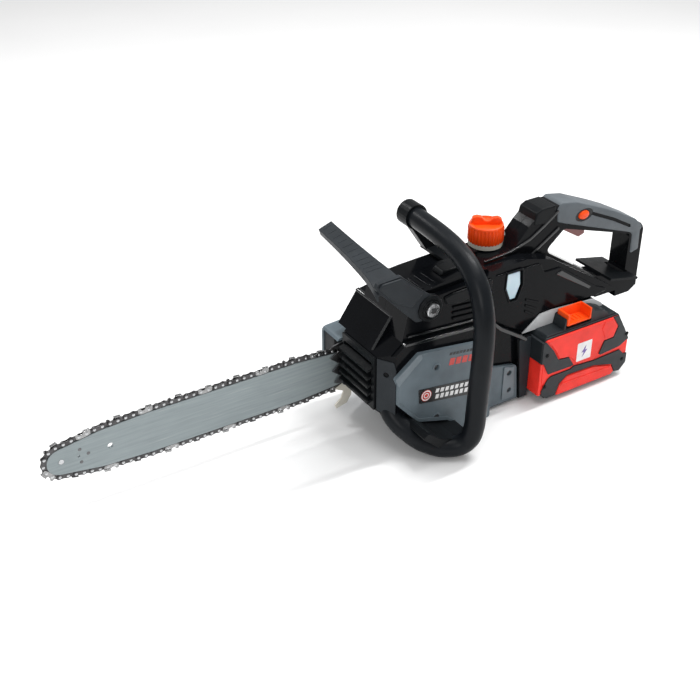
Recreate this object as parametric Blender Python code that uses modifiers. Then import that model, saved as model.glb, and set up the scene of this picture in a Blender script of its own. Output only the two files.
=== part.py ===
"""Battery chainsaw, modelled as an assembly of separate, named pieces.

Frame, in metres: the guide bar points along -X, the rear handle along +X, +Z is up,
-Y is the operator's left and +Y the side that carries the bar.  The origin is on the
surface that the saw rests on, under the drive sprocket's axis and on the mid-plane of
the rear handle.
"""
import math

import bmesh
import bpy
from mathutils import Matrix, Vector

MM = 0.001

# ---------------------------------------------------------------- driving dimensions (mm)
GAP = 0.3                    # clearance between pieces that touch
AXIS_Z = 72.6                # height of the bar's centre line and of the sprocket's axis
BAR_Y = 50.0                 # mid-plane of bar and chain
BAR_THICK = 4.0
BAR_HALF = 27.0              # half of the bar's height
NOSE_X = -419.4              # nose sprocket's axis
NOSE_R = 16.5                # rail radius round the nose
SPROCKET_RAIL_R = 13.5       # the rail's equivalent radius on the drive sprocket
TAIL_X = -29.0               # rear end of the bar
GROOVE_WIDTH = 1.3
GROOVE_DEPTH = 4.6
CHAIN_HEIGHT = 8.4           # chain above the rail
CHAIN_WIDTH = 5.5
TANG_WIDTH = 0.9
TANG_DEPTH = 3.6
STUD_X = -46.0               # bar stud
STUD_R = 4.0
PIN_X = -48.0                # tension pin
PIN_Z = 60.6
SCREW_Y = 35.0               # tension screw's axis
TENSION_TRAVEL = 8.0         # how far the bar can be drawn back

LEFT_FACE = -50.0            # left wall of the motor compartment
COVER_FACE = -56.0           # outside of the grey side cover
RIGHT_FACE = 44.0            # right wall of the housing
WALL = 3.0                   # housing wall
UPPER_FACE = -44.0           # left wall above the shoulder
WAIST_FACE = -36.0           # left wall behind the motor compartment
HANDLE_HALF = 15.5           # half width of the rear handle

PIVOT_X = -3.0               # hand guard pivot
PIVOT_Z = 187.0
TUBE_R = 12.5                # front handle

CAP_X = 132.0                # oil cap axis
CAP_Y = 24.0
CAP_Z = 207.5                # underside of the cap
CAP_R = 22.5
CAP_HEIGHT = 22.5

BATTERY = ((165.0, -63.0, 5.0), (312.0, 14.0, 96.0))

# Outlines in the X-Z plane.
CORNER = [(-60.5, -28), (-46, -52)]   # chamfered front left corner, in plan
FRONT_BODY = [(-60, 53), (-60, 128), (-36, 148), (-28, 186), (-18, 193), (18, 196), (96, 200),
              (96, 3), (18, 3)]
LOWER_BODY = [(-59.7, 53), (-59.7, 127), (-36, 146), (92, 137), (95, 130), (95, 3.3), (18, 3.3)]
REAR_BODY = [(90, 3.6), (152, 3.6), (146, 96), (272, 116), (300, 120), (190, 190), (150, 201),
             (90, 199)]
DOCK_WALL = [(140, 8), (300, 8), (306, 20), (306, 60), (290, 98), (285, 125), (150, 110)]
HANDLE_OUT = [(128, 199), (143, 205), (166, 231), (186, 249), (212, 248.5), (238, 243), (282, 224.6),
              (309, 212), (345, 193), (361, 179), (364, 96), (352, 88), (310, 88), (262, 108),
              (180, 120), (128, 150)]
HANDLE_IN = [(224, 214, 6), (196, 190, 6), (290, 129, 6), (340, 118, 6), (340, 177, 6)]
LOWER_ROOM = [(-56, 58), (-56, 124), (-34, 141), (88, 132), (91, 127), (91, 7), (20, 7)]
UPPER_ROOM = [(-30, 130), (-24, 182), (-16, 189), (18, 192), (91.5, 195.6), (91.5, 120)]
REAR_ROOM = [(85, 8), (146, 8), (142, 103), (268, 121), (188, 183), (148, 196), (85, 194)]
GRIP_ROOM = [(150, 196), (168, 228), (188, 245), (212, 244.5), (237, 239), (281, 220.6), (308, 208),
             (344, 189), (357, 177), (360, 102), (345, 102), (344, 181), (226, 219), (200, 200)]


# ---------------------------------------------------------------- scene and helpers
def clear_scene():
    for obj in list(bpy.data.objects):
        bpy.data.objects.remove(obj, do_unlink=True)


def collection(name):
    coll = bpy.data.collections.new(name)
    bpy.context.scene.collection.children.link(coll)
    return coll


clear_scene()
PARTS = collection("chainsaw")
CUTTERS = collection("cutters")


def material(name, colour, roughness, metallic=0.0):
    mat = bpy.data.materials.new(name)
    mat.use_nodes = True
    shader = mat.node_tree.nodes["Principled BSDF"]
    shader.inputs["Base Color"].default_value = (*colour, 1.0)
    shader.inputs["Roughness"].default_value = roughness
    shader.inputs["Metallic"].default_value = metallic
    mat.diffuse_color = (*colour, 1.0)
    return mat


BLACK = material("black_gloss_plastic", (0.012, 0.013, 0.015), 0.18)
DARK = material("dark_grey_plastic", (0.045, 0.05, 0.055), 0.5)
GREY = material("grey_plastic", (0.19, 0.21, 0.22), 0.45)
SOFT = material("soft_grip_rubber", (0.06, 0.065, 0.07), 0.8)
ORANGE = material("orange_plastic", (0.83, 0.10, 0.01), 0.35)
RED = material("red_plastic", (0.72, 0.03, 0.02), 0.4)
STEEL = material("bright_steel", (0.45, 0.47, 0.48), 0.3, 1.0)
CHAIN_STEEL = material("chain_steel", (0.12, 0.12, 0.12), 0.35, 1.0)
BAR_PAINT = material("bar_grey_paint", (0.24, 0.27, 0.28), 0.4, 0.3)
COPPER = material("copper_winding", (0.6, 0.25, 0.1), 0.35, 1.0)
CLEAR = material("translucent_window", (0.55, 0.68, 0.75), 0.2)
CREAM = material("cream_plastic", (0.62, 0.60, 0.52), 0.5)
WHITE = material("white_label", (0.8, 0.8, 0.8), 0.4)
GREEN = material("circuit_board", (0.02, 0.15, 0.06), 0.5)


def adopt(name, mesh, mat=None, matrix=None):
    """New object in the cutters collection; finish() moves it to the parts."""
    obj = bpy.data.objects.new(name, mesh)
    CUTTERS.objects.link(obj)
    obj.hide_render = True
    obj.display_type = "WIRE"
    if mat:
        obj.data.materials.append(mat)
    if matrix is not None:
        obj.matrix_world = matrix
    return obj


def finish(obj, mat, bevel=0.0, segments=2, angle=35.0):
    """Make the object a part: material, optional bevel and shading."""
    CUTTERS.objects.unlink(obj)
    PARTS.objects.link(obj)
    obj.hide_render = False
    obj.display_type = "TEXTURED"
    obj.data.materials.clear()
    obj.data.materials.append(mat)
    if bevel:
        mod = obj.modifiers.new("edges", "BEVEL")
        mod.width = bevel * MM
        mod.segments = segments
        mod.limit_method = "ANGLE"
        mod.angle_limit = math.radians(angle)
        mod.harden_normals = False
    obj.data.shade_smooth()
    obj.data.set_sharp_from_angle(angle=math.radians(30))
    return obj


def baked(obj):
    """The object with its modifiers applied, as plain mesh data."""
    depsgraph = bpy.context.evaluated_depsgraph_get()
    depsgraph.update()
    mesh = bpy.data.meshes.new_from_object(obj.evaluated_get(depsgraph))
    matrix = obj.matrix_world.copy()
    name = obj.name
    users = obj.users_collection[0]
    bpy.data.objects.remove(obj, do_unlink=True)
    bm = bmesh.new()
    bm.from_mesh(mesh)
    bmesh.ops.remove_doubles(bm, verts=bm.verts, dist=0.01 * MM)
    bmesh.ops.transform(bm, matrix=matrix, verts=bm.verts)
    bmesh.ops.recalc_face_normals(bm, faces=bm.faces)
    bm.to_mesh(mesh)
    bm.free()
    new = bpy.data.objects.new(name, mesh)
    users.objects.link(new)
    new.hide_render = True
    new.display_type = "WIRE"
    return new


def boolean(target, tool, operation):
    mod = target.modifiers.new(operation.lower(), "BOOLEAN")
    mod.operation = operation
    mod.solver = "EXACT"
    mod.object = tool
    return target


def cut(target, *tools):
    for tool in tools:
        boolean(target, tool, "DIFFERENCE")
    return target


def fuse(target, *tools):
    for tool in tools:
        boolean(target, tool, "UNION")
    return target


def rounded(points, steps=3):
    """Outline with arcs at the corners given as (x, z, radius)."""
    out = []
    count = len(points)
    for i, point in enumerate(points):
        if len(point) == 2 or point[2] == 0:
            out.append((point[0], point[1]))
            continue
        here = Vector(point[:2])
        back = (Vector(points[i - 1][:2]) - here).normalized()
        ahead = (Vector(points[(i + 1) % count][:2]) - here).normalized()
        half = back.angle(ahead) / 2
        reach = point[2] / math.tan(half)
        centre = here + (back + ahead).normalized() * (point[2] / math.sin(half))
        start = here + back * reach - centre
        end = here + ahead * reach - centre
        turn = start.angle_signed(end)
        for k in range(steps + 1):
            spoke = start.copy()
            spoke.rotate(Matrix.Rotation(-turn * k / steps, 2))
            out.append(tuple(centre + spoke))
    return out


def outline(name, points, low, high, plane="XZ"):
    """Flat outline (mm) thickened from low to high along the plane's normal."""
    curve = bpy.data.curves.new(name, "CURVE")
    curve.dimensions = "2D"
    curve.fill_mode = "BOTH"
    curve.extrude = (high - low) / 2 * MM
    spline = curve.splines.new("POLY")
    spline.points.add(len(points) - 1)
    for dot, (u, v) in zip(spline.points, points):
        dot.co = (u * MM, v * MM, 0, 1)
    spline.use_cyclic_u = True
    obj = bpy.data.objects.new(name, curve)
    CUTTERS.objects.link(obj)
    middle = (low + high) / 2 * MM
    if plane == "XZ":
        obj.matrix_world = Matrix.Translation((0, middle, 0)) @ Matrix.Rotation(math.pi / 2, 4, "X")
    elif plane == "YZ":
        turn = Matrix(((0, 0, 1, 0), (1, 0, 0, 0), (0, 1, 0, 0), (0, 0, 0, 1)))
        obj.matrix_world = Matrix.Translation((middle, 0, 0)) @ turn
    else:
        obj.matrix_world = Matrix.Translation((0, 0, middle))
    bpy.context.view_layer.update()
    return baked(obj)


def block(name, low, high):
    """Box between two corners (mm)."""
    centre = [(a + b) / 2 * MM for a, b in zip(low, high)]
    bpy.ops.mesh.primitive_cube_add(size=1, location=centre)
    obj = bpy.context.object
    obj.name = name
    obj.scale = [abs(b - a) * MM for a, b in zip(low, high)]
    bpy.ops.object.transform_apply(location=True, rotation=False, scale=True)
    for coll in list(obj.users_collection):
        coll.objects.unlink(obj)
    CUTTERS.objects.link(obj)
    obj.hide_render = True
    obj.display_type = "WIRE"
    return obj


AIM = {"X": Matrix.Rotation(math.pi / 2, 4, "Y"), "Y": Matrix.Rotation(-math.pi / 2, 4, "X"),
       "Z": Matrix.Identity(4)}


def rod(name, centre, axis, radius, length, sides=24, tip=None):
    """Cylinder (or cone towards +axis when tip is given) centred on centre (mm)."""
    mesh = bpy.data.meshes.new(name)
    bm = bmesh.new()
    bmesh.ops.create_cone(bm, cap_ends=True, segments=sides, radius1=radius * MM,
                          radius2=(radius if tip is None else tip) * MM, depth=length * MM)
    place = Matrix.Translation([c * MM for c in centre]) @ (AIM[axis] if isinstance(axis, str) else axis)
    bmesh.ops.transform(bm, matrix=place, verts=bm.verts)
    bm.to_mesh(mesh)
    bm.free()
    return adopt(name, mesh)


def turned(name, profile, centre, axis, steps=28):
    """Turned piece: profile of (radius, height) in mm, top to bottom down the outer side."""
    mesh = bpy.data.meshes.new(name)
    bm = bmesh.new()
    verts = [bm.verts.new((r * MM, 0, h * MM)) for r, h in profile]
    closed = profile[0][0] > 0
    pairs = list(zip(verts, verts[1:])) + ([(verts[-1], verts[0])] if closed else [])
    for a, b in pairs:
        bm.edges.new((a, b))
    bm.to_mesh(mesh)
    bm.free()
    obj = adopt(name, mesh)
    mod = obj.modifiers.new("turn", "SCREW")
    mod.steps = steps
    mod.render_steps = steps
    mod.use_merge_vertices = True
    mod.merge_threshold = 0.00001
    obj.matrix_world = Matrix.Translation([c * MM for c in centre]) @ (
        AIM[axis] if isinstance(axis, str) else axis)
    bpy.context.view_layer.update()
    return baked(obj)


def smooth_path(points, per_span=5):
    """Points of a Catmull-Rom curve through the given points."""
    pts = [Vector(p) for p in points]
    pts = [2 * pts[0] - pts[1]] + pts + [2 * pts[-1] - pts[-2]]
    out = []
    for i in range(1, len(pts) - 2):
        a, b, c, d = pts[i - 1:i + 3]
        for k in range(per_span):
            t = k / per_span
            out.append(0.5 * (2 * b + (c - a) * t + (2 * a - 5 * b + 4 * c - d) * t * t
                              + (3 * b - a - 3 * c + d) * t ** 3))
    out.append(pts[-2])
    return out


def tube(name, points, radius, resolution=4):
    """Round bar along the points (mm)."""
    curve = bpy.data.curves.new(name, "CURVE")
    curve.dimensions = "3D"
    curve.bevel_depth = radius * MM
    curve.bevel_resolution = resolution
    curve.use_fill_caps = True
    spline = curve.splines.new("POLY")
    spline.points.add(len(points) - 1)
    for dot, p in zip(spline.points, points):
        dot.co = (p[0] * MM, p[1] * MM, p[2] * MM, 1)
    obj = bpy.data.objects.new(name, curve)
    CUTTERS.objects.link(obj)
    bpy.context.view_layer.update()
    return baked(obj)


def hull(points):
    """Convex outline round the points, counter-clockwise."""
    pts = sorted(set((round(x, 4), round(z, 4)) for x, z in points))

    def half(seq):
        chain = []
        for p in seq:
            while len(chain) > 1:
                (ax, az), (bx, bz) = chain[-2:]
                if (bx - ax) * (p[1] - az) - (bz - az) * (p[0] - ax) > 0.01:
                    break
                chain.pop()
            chain.append(p)
        return chain[:-1]

    return half(pts) + half(pts[::-1])


def circle(x, z, radius, sides=48):
    step = 2 * math.pi / sides
    return [(x + radius * math.cos(i * step), z + radius * math.sin(i * step))
            for i in range(sides)]


# ---------------------------------------------------------------- bar and chain
BAR_CIRCLES = [(NOSE_X, NOSE_R), (-370.0, 24.3), (-315.0, BAR_HALF), (-120.0, BAR_HALF),
               (-52.0, 22.0)]
LOOP_CIRCLES = BAR_CIRCLES + [(0.0, SPROCKET_RAIL_R)]


def belt(circles, offset=0.0, sides=36):
    """Convex outline round a row of circles on the bar's centre line."""
    dots = []
    for x, radius in circles:
        dots += circle(x, AXIS_Z, radius + offset, sides)
    return hull(dots)


def guide_bar():
    low, high = BAR_Y - BAR_THICK / 2, BAR_Y + BAR_THICK / 2
    bar = outline("guide_bar", belt(BAR_CIRCLES), low, high)
    for name, x, z, radius in (("pin_hole", PIN_X, PIN_Z, 3.3),
                               ("nose_hole", NOSE_X, AXIS_Z, 3.3),
                               ("grease_hole", NOSE_X + 20, AXIS_Z, 1.6),
                               ("light_hole", NOSE_X + 57, AXIS_Z, 3.6)):
        cut(bar, rod(name, (x, BAR_Y, z), "Y", radius, 12, 20))
    cut(bar, block("tail_cut", (TAIL_X, low - 5, 0), (60, high + 5, 150)))
    slot_end = STUD_X - STUD_R - TENSION_TRAVEL - 2
    cut(bar, block("stud_slot", (slot_end, low - 6, AXIS_Z - STUD_R - 0.3),
                   (TAIL_X + 5, high + 6, AXIS_Z + STUD_R + 0.3)))
    groove = outline("groove_out", belt(BAR_CIRCLES, 5), BAR_Y - GROOVE_WIDTH / 2,
                     BAR_Y + GROOVE_WIDTH / 2)
    core = outline("groove_core", belt(BAR_CIRCLES, -GROOVE_DEPTH), low - 1, high + 1)
    cut(core, block("core_end", (NOSE_X - 30, low - 7, 0), (NOSE_X + 13.2, high + 7, 150)))
    cut(groove, core)
    cut(bar, baked(groove))
    return finish(bar, BAR_PAINT)


def chain():
    ring = outline("saw_chain", belt(LOOP_CIRCLES, CHAIN_HEIGHT), BAR_Y - CHAIN_WIDTH / 2,
                   BAR_Y + CHAIN_WIDTH / 2)
    inner = outline("chain_in", belt(LOOP_CIRCLES, 0.4), BAR_Y - 9, BAR_Y + 9)
    cut(ring, inner)
    rib = outline("tang_rib", belt(BAR_CIRCLES, 2.0), BAR_Y - TANG_WIDTH / 2,
                  BAR_Y + TANG_WIDTH / 2)
    cut(rib, outline("tang_in", belt(BAR_CIRCLES, -TANG_DEPTH), BAR_Y - 3, BAR_Y + 3))
    cut(rib, block("tang_tail", (-60, BAR_Y - 5, 0), (60, BAR_Y + 5, 150)))
    fuse(ring, rib)
    return finish(ring, CHAIN_STEEL)


def nose_sprocket():
    star = turned("nose_sprocket", [(NOSE_R - TANG_DEPTH - 0.6, 0.45), (NOSE_R - TANG_DEPTH - 0.6, -0.45),
                                    (4.6, -0.45), (4.6, 0.45)], (NOSE_X, BAR_Y, AXIS_Z), "Y", 28)
    return finish(star, STEEL)


def nose_rivet():
    flange, core = 0.45, 4.2
    rivet = turned("nose_rivet", [(0, BAR_THICK / 2), (3.0, BAR_THICK / 2), (3.0, flange), (core, flange),
                                  (core, -flange), (3.0, -flange), (3.0, -BAR_THICK / 2),
                                  (0, -BAR_THICK / 2)], (NOSE_X, BAR_Y, AXIS_Z), "Y", 20)
    return finish(rivet, STEEL)


def tension_parts():
    length = BAR_Y + 2 - SCREW_Y
    pin = rod("tension_pin", (PIN_X, SCREW_Y + length / 2, PIN_Z), "Y", 3.0, length, 16)
    fuse(pin, block("pin_nut", (PIN_X - 4.5, SCREW_Y - 5, PIN_Z - 4.2), (PIN_X + 4.5, SCREW_Y + 4.5, PIN_Z + 4.5)))
    cut(pin, rod("pin_thread", (PIN_X, SCREW_Y, PIN_Z), "X", 2.05, 30, 16))
    finish(pin, STEEL)
    screw = rod("tension_screw", (-46.0, SCREW_Y, PIN_Z), "X", 2.0, 38, 16)
    fuse(screw, rod("tension_head", (-64.0, SCREW_Y, PIN_Z), "X", 4.0, 5.0, 16))
    cut(screw, block("driver_slot", (-70, 20, PIN_Z - 0.6), (-65, 50, PIN_Z + 0.6)))
    finish(screw, STEEL)


def bar_plate():
    plate = outline("bar_plate", rounded([(-60, 53, 3), (-32, 53, 3), (-32, 88, 5), (-60, 88, 5)]),
                    46.7, 47.7)
    cut(plate, rod("plate_hole", (STUD_X, 47, AXIS_Z), "Y", STUD_R + GAP, 6, 20))
    cut(plate, pin_slot())
    return finish(plate, STEEL)


def pin_slot():
    """Slot in which the tension pin travels."""
    reach = 3.0 + 0.6
    corners = [(PIN_X - reach, PIN_Z - reach, 3), (PIN_X + TENSION_TRAVEL + reach, PIN_Z - reach, 3),
               (PIN_X + TENSION_TRAVEL + reach, PIN_Z + reach, 3), (PIN_X - reach, PIN_Z + reach, 3)]
    return outline("pin_slot", rounded(corners), 39.6, 60)


def stud_and_nut():
    finish(rod("bar_stud", (STUD_X, 66.0, AXIS_Z), "Y", STUD_R, 48, 20), STEEL)
    nut = rod("bar_nut", (STUD_X, 86.9, AXIS_Z), "Y", 8.0, 7.0, 6)
    fuse(nut, rod("nut_flange", (STUD_X, 84.2, AXIS_Z), "Y", 11.0, 1.8, 28))
    cut(nut, rod("nut_bore", (STUD_X, 86, AXIS_Z), "Y", STUD_R + GAP, 30, 20))
    finish(nut, STEEL)


def bumper():
    teeth = [(-62, 112), (-76, 109), (-67, 100), (-78, 92), (-66, 82), (-76, 73), (-64, 64),
             (-73, 56), (-62, 52), (-46, 52), (-44, 108)]
    plate = outline("spiked_bumper", teeth, RIGHT_FACE + GAP, 46.4)
    cut(plate, block("bumper_relief", (-60.5, 40, 52.6), (0, 50, 88.5)))
    return finish(plate, STEEL)


def chain_catcher():
    hook = outline("chain_catcher", [(-62, 51.2), (-72, 46), (-60, 40), (-64, 30), (-73, 22), (-71, 17),
                                     (-56, 21), (-50, 30), (-46, 51.2)], RIGHT_FACE + GAP, 46.4)
    return finish(hook, CREAM)


# ---------------------------------------------------------------- drive
def rotor_set():
    sprocket = turned("drive_sprocket", [(13.2, 3.0), (13.2, 0.9), (9.2, 0.9), (9.2, -0.9), (13.2, -0.9),
                                         (13.2, -3.0), (5.05, -3.0), (5.05, 3.0)],
                      (0, BAR_Y, AXIS_Z), "Y", 30)
    finish(sprocket, STEEL)
    shaft = turned("motor_shaft", [(0, 58), (4.4, 58), (5.0, 57), (5.0, -45), (4.0, -46), (0, -46)],
                   (0, 0, AXIS_Z), "Y", 20)
    cut(shaft, turned("clip_groove", [(8, 54.6), (8, 53.4), (3.9, 53.4), (3.9, 54.6)],
                      (0, 0, AXIS_Z), "Y", 20))
    finish(shaft, STEEL)
    clip = turned("sprocket_clip", [(8.0, 54.4), (8.0, 53.6), (4.05, 53.6), (4.05, 54.4)],
                  (0, 0, AXIS_Z), "Y", 20)
    cut(clip, block("clip_gap", (-2.5, 50, AXIS_Z - 12), (2.5, 58, AXIS_Z)))
    finish(clip, STEEL)
    rotor = turned("motor_rotor", [(19.5, 9), (19.5, -28), (5.05, -28), (5.05, 9)],
                   (0, 0, AXIS_Z), "Y", 30)
    finish(rotor, DARK)
    fan = turned("cooling_fan", [(9, -32), (12, -41.5), (5.05, -41.5), (5.05, -32)], (0, 0, AXIS_Z), "Y", 24)
    for k in range(9):
        blade = block("fan_blade", (8.5, -41, -0.9), (29, -33, 0.9))
        blade.data.transform(Matrix.Translation((0, 0, AXIS_Z * MM))
                             @ Matrix.Rotation(2 * math.pi * k / 9, 4, "Y"))
        fuse(fan, blade)
    finish(fan, DARK)


def stator_and_bearings():
    stator = turned("motor_stator", [(34, 9), (34, -28), (20.2, -28), (20.2, 9)], (0, 0, AXIS_Z), "Y", 36)
    for k in range(6):
        slot = block("winding_slot", (24, -40, -3.5), (31, 20, 3.5))
        slot.data.transform(Matrix.Translation((0, 0, AXIS_Z * MM))
                            @ Matrix.Rotation(math.pi * (k + 0.5) / 3, 4, "Y"))
        cut(stator, slot)
    finish(stator, COPPER)
    for name, low, high in (("shaft_bearing_right", 28, 36), ("shaft_bearing_left", -46.7, -42.6)):
        ring = turned(name, [(11, high), (11, low), (5.05, low), (5.05, high)], (0, 0, AXIS_Z), "Y", 28)
        finish(ring, STEEL)
    band = turned("brake_band", [(27.4, 26), (27.4, 18), (26.2, 18), (26.2, 26)], (0, 0, AXIS_Z), "Y", 40)
    cut(band, block("band_gap", (-40, 10, AXIS_Z - 3), (0, 30, AXIS_Z + 3)))
    finish(band, STEEL)
    drum = turned("brake_drum", [(25.6, 26.5), (25.6, 17.5), (5.05, 17.5), (5.05, 20), (23, 20), (23, 26.5)],
                  (0, 0, AXIS_Z), "Y", 40)
    finish(drum, STEEL)


# ---------------------------------------------------------------- housings
def front_corner_cut(name, inset=0.0):
    (ax, ay), (bx, by) = CORNER
    return outline(name, [(ax + inset, ay), (bx + inset, by), (-95, by - 10), (-95, ay)], 0, 230, "XY")


FRONT_BOX = [(-57, 129), (-31, 167), (-4, 172), (12, 169), (12, 129)]


def box_space(grow):
    return outline("front_box_space", [(-57 - grow, 129 - grow), (-31 - grow, 167 + grow),
                                       (-4, 172 + grow), (12 + grow, 169 + grow),
                                       (12 + grow, 129 - grow)], -15 - grow, 70)


def battery_space():
    (x0, y0, z0), (x1, y1, z1) = BATTERY
    return block("battery_space", (x0 - 3, y0 - 5, -5), (x1 + 15, y1 + 2, z1 + 1.0))


def shell_space():
    """Room for the battery's top shell, open towards the left so that it can slide out."""
    return outline("shell_space", [(186, 85), (291.5, 85), (290.5, 113.5), (272, 114.5), (188, 101.5)],
                   -75, BATTERY[1][1] + 2.4)


def latch_space():
    return block("latch_space", (192, -70, 90), (266, -29.5, 121))


def half_shell(name, faces, sign):
    """One half of the housing: a shell open at the parting plane.

    faces holds the outer wall's Y below the shoulder, above it and behind the motor.
    Every block runs past the parting plane by its own amount and is trimmed there at the end.
    """
    def span(outer, past, inset=0.0):
        ends = (outer - sign * inset, -sign * past)
        return min(ends), max(ends)

    lower, upper, waist = faces
    body = outline(name, FRONT_BODY, *span(upper, 6.0))
    fuse(body, outline(name + "_low", LOWER_BODY, *span(lower, 5.0)),
         outline(name + "_rear", REAR_BODY, *span(waist, 4.0)),
         outline(name + "_handle", HANDLE_OUT, *span(sign * HANDLE_HALF, 3.0)))
    room = outline(name + "_room", LOWER_ROOM, *span(lower, 10.0, WALL))
    fuse(room, outline(name + "_room_top", UPPER_ROOM, *span(upper, 11.0, WALL + 0.1)),
         outline(name + "_room_rear", REAR_ROOM, *span(waist, 12.0, WALL + 0.2)),
         outline(name + "_room_grip", GRIP_ROOM, *span(sign * HANDLE_HALF, 13.0, WALL + 0.3)))
    if sign < 0:
        cut(room, front_corner_cut("room_corner", WALL + 1))
    cut(body, baked(room))
    cut(body, outline(name + "_opening", rounded(HANDLE_IN), -70, 70))
    cut(body, battery_space(), shell_space(), latch_space(), box_space(GAP))
    beyond = (-GAP / 2, 30) if sign < 0 else (-30, GAP / 2)
    cut(body, block("parting_cut", (-120, beyond[0], -20), (400, beyond[1], 300)))
    return body


def trigger_slot():
    return outline("trigger_slot", [(222, 200), (222, 238), (274, 214), (274, 184)], -7, 7)


def pin_bore():
    return rod("trigger_pin_bore", (231, 0, 224), "Y", 1.6 + GAP, 28, 16)


def lockoff_space(grow):
    return outline("lockoff_space", ellipse(253, 226, 8.5 + grow, 6 + grow), -24, -8)


def bearing_seat(low, high):
    """Ring round a shaft bearing, to be joined to a housing wall."""
    return rod("bearing_seat", (0, (low + high) / 2, AXIS_Z), "Y", 14.5, high - low, 28)


def left_housing():
    left = half_shell("left_housing", (LEFT_FACE, UPPER_FACE, WAIST_FACE), -1)
    cheek = [(149, 4), (161.5, 4), (161.5, 95), (139.5, 95), (144, 57)]
    fuse(left, bearing_seat(-48, -43), outline("dock_cheek", cheek, -43, -34))
    cut(left, rod("seat_bore", (0, -43, AXIS_Z), "Y", 11 + GAP, 8, 28), front_corner_cut("front_corner"),
        rod("pivot_bore", (PIVOT_X, -42, PIVOT_Z), "Y", 5.0 + GAP, 20, 20),
        window_opening(GAP), trigger_slot(), pin_bore(), lockoff_space(GAP), neck_hole(), cap_space(),
        rod("column_recess", (-54, -44, 108), "Y", 3.4, 6, 16))
    return finish(left, BLACK)


def right_housing():
    right = half_shell("right_housing", (RIGHT_FACE, RIGHT_FACE - 1, 40.0), 1)
    fuse(right, outline("dock_wall", DOCK_WALL, BATTERY[1][1] + 2, 39.5), bearing_seat(27.5, 42),
         block("bar_pad", (-59.9, 43, 53), (-32, 46.4, 88)))
    cut(right, outline("dock_room", [(150, 12), (297, 12), (302, 22), (302, 58), (286, 96), (281, 112),
                                     (160, 104)], BATTERY[1][1] + 5, 36.5))
    cut(right, block("dock_gap", (200, 10, 60), (262, 24, 84)),
        rod("seat_bore", (0, 26, AXIS_Z), "Y", 11 + GAP, 20.6, 28),
        rod("shaft_hole", (0, 30, AXIS_Z), "Y", 6.0, 60, 24),
        rod("stud_hole", (STUD_X, 45, AXIS_Z), "Y", STUD_R + GAP, 12, 20), pin_slot(),
        rod("screw_hole", (-58, SCREW_Y, PIN_Z), "X", 2.5, 12, 16), trigger_slot(), pin_bore(),
        neck_hole(), cap_space())
    return finish(right, BLACK)


def side_cover():
    """Grey motor cover on the left, with a raised rim and a round lower edge."""
    edge = rounded([(-19, 133, 3), (-52, 108, 3), (-47, 97, 3), (-47, 70, 3), (-18, 37, 8),
                    (26, 24, 6), (48, 4, 3), (92, 4, 3), (92, 118, 3)])
    cover = outline("left_side_cover", edge, COVER_FACE, LEFT_FACE - GAP)
    inner = rounded([(-18, 127, 3), (-42, 106, 3), (-41, 97, 3), (-41, 73, 3), (-16, 43, 6),
                     (28, 30, 4), (50, 10, 3), (86, 10, 3), (86, 112, 3)])
    cut(cover, outline("cover_inside", inner, COVER_FACE + 2.5, LEFT_FACE + 2))
    cut(cover, rod("cover_screw_hole", (6, -55, 107), "Y", 3.4, 12, 16))
    return finish(cover, GREY)


def rear_foot():
    """Grey lower cover behind the motor compartment, next to the battery."""
    foot = outline("rear_lower_cover", rounded([(96.5, 4, 2), (148, 4, 2), (143, 56, 6), (96.5, 66, 2)]),
                   -41.0, WAIST_FACE - GAP)
    for x, z in ((131, 48), (133, 22)):
        cut(foot, rod("foot_screw_hole", (x, -41, z), "Y", 3.4, 12, 16))
    return finish(foot, GREY)


def base_pad():
    """Rubber foot under the motor compartment, on which the saw rests."""
    pad = outline("base_pad", [(-10, 0), (40, 0), (40, 2.7), (17.9, 2.7), (-10, 20.5)], -30, 30)
    return finish(pad, SOFT)


def front_grille():
    frame = block("front_grille", (-63.5, -28, 55), (-60.3, 42, 127))
    cut(frame, block("grille_window", (-70, -22, 62), (-50, 38, 118)))
    for k in range(5):
        z = 66 + 11 * k
        fin = outline("grille_fin", [(-61, z), (-70, z - 3), (-70, z), (-61, z + 3)], -24, 40)
        fuse(frame, fin)
    cut(frame, rod("head_hole", (-64, SCREW_Y, PIN_Z), "X", 4.5, 20, 16))
    return finish(frame, DARK)


def front_box():
    shell = outline("front_box", FRONT_BOX, -15, 62)
    inner = [(-53, 126), (-28, 163.5), (-4, 168.5), (9, 166), (9, 126)]
    cut(shell, outline("front_box_room", inner, -12, 59))
    return finish(shell, BLACK)


def sprocket_cover():
    """Cover over the sprocket and bar studs, open towards the bar."""
    edge = rounded([(-68, 44, 4), (-30, 24, 10), (30, 24, 22), (48, 60, 24), (34, 108, 20),
                    (-40, 118, 10), (-68, 116, 6)])
    cover = outline("sprocket_cover", edge, RIGHT_FACE + GAP, 83)
    room = rounded([(-100, 36, 0), (-60, 35.5, 4), (-26, 28, 8), (27, 28, 18), (44, 60, 20),
                    (31, 104.5, 16), (-40, 113.5, 6), (-100, 112, 0)])
    cut(cover, outline("cover_room", room, RIGHT_FACE - 3, 79))
    low = BAR_Y + BAR_THICK / 2 + GAP
    fuse(cover, rod("cover_boss", (STUD_X, (low + 82) / 2, AXIS_Z), "Y", 8.5, 82 - low, 24))
    cut(cover, rod("boss_bore", (STUD_X, 70, AXIS_Z), "Y", STUD_R + GAP, 60, 20),
        block("bumper_gap", (-90, 40, 0), (-42, 46.7, 140)))
    return finish(cover, GREY)


# ---------------------------------------------------------------- front handle and guard
TUBE_PATH = [(43, 62, 251), (43, 30, 249.5), (43, -5, 247), (42.5, -35, 242), (41.5, -62, 232),
             (39.5, -84, 214), (37, -98, 190), (35, -104, 164), (33, -105.5, 130), (31, -105.5, 95),
             (29.5, -105.5, 62), (28, -105.5, 42), (24, -103, 26), (13, -97, 16), (-6, -86, 15),
             (-22, -73, 20), (-33.5, -61, 29.5), (-39, -50.6, 38.5)]


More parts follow.
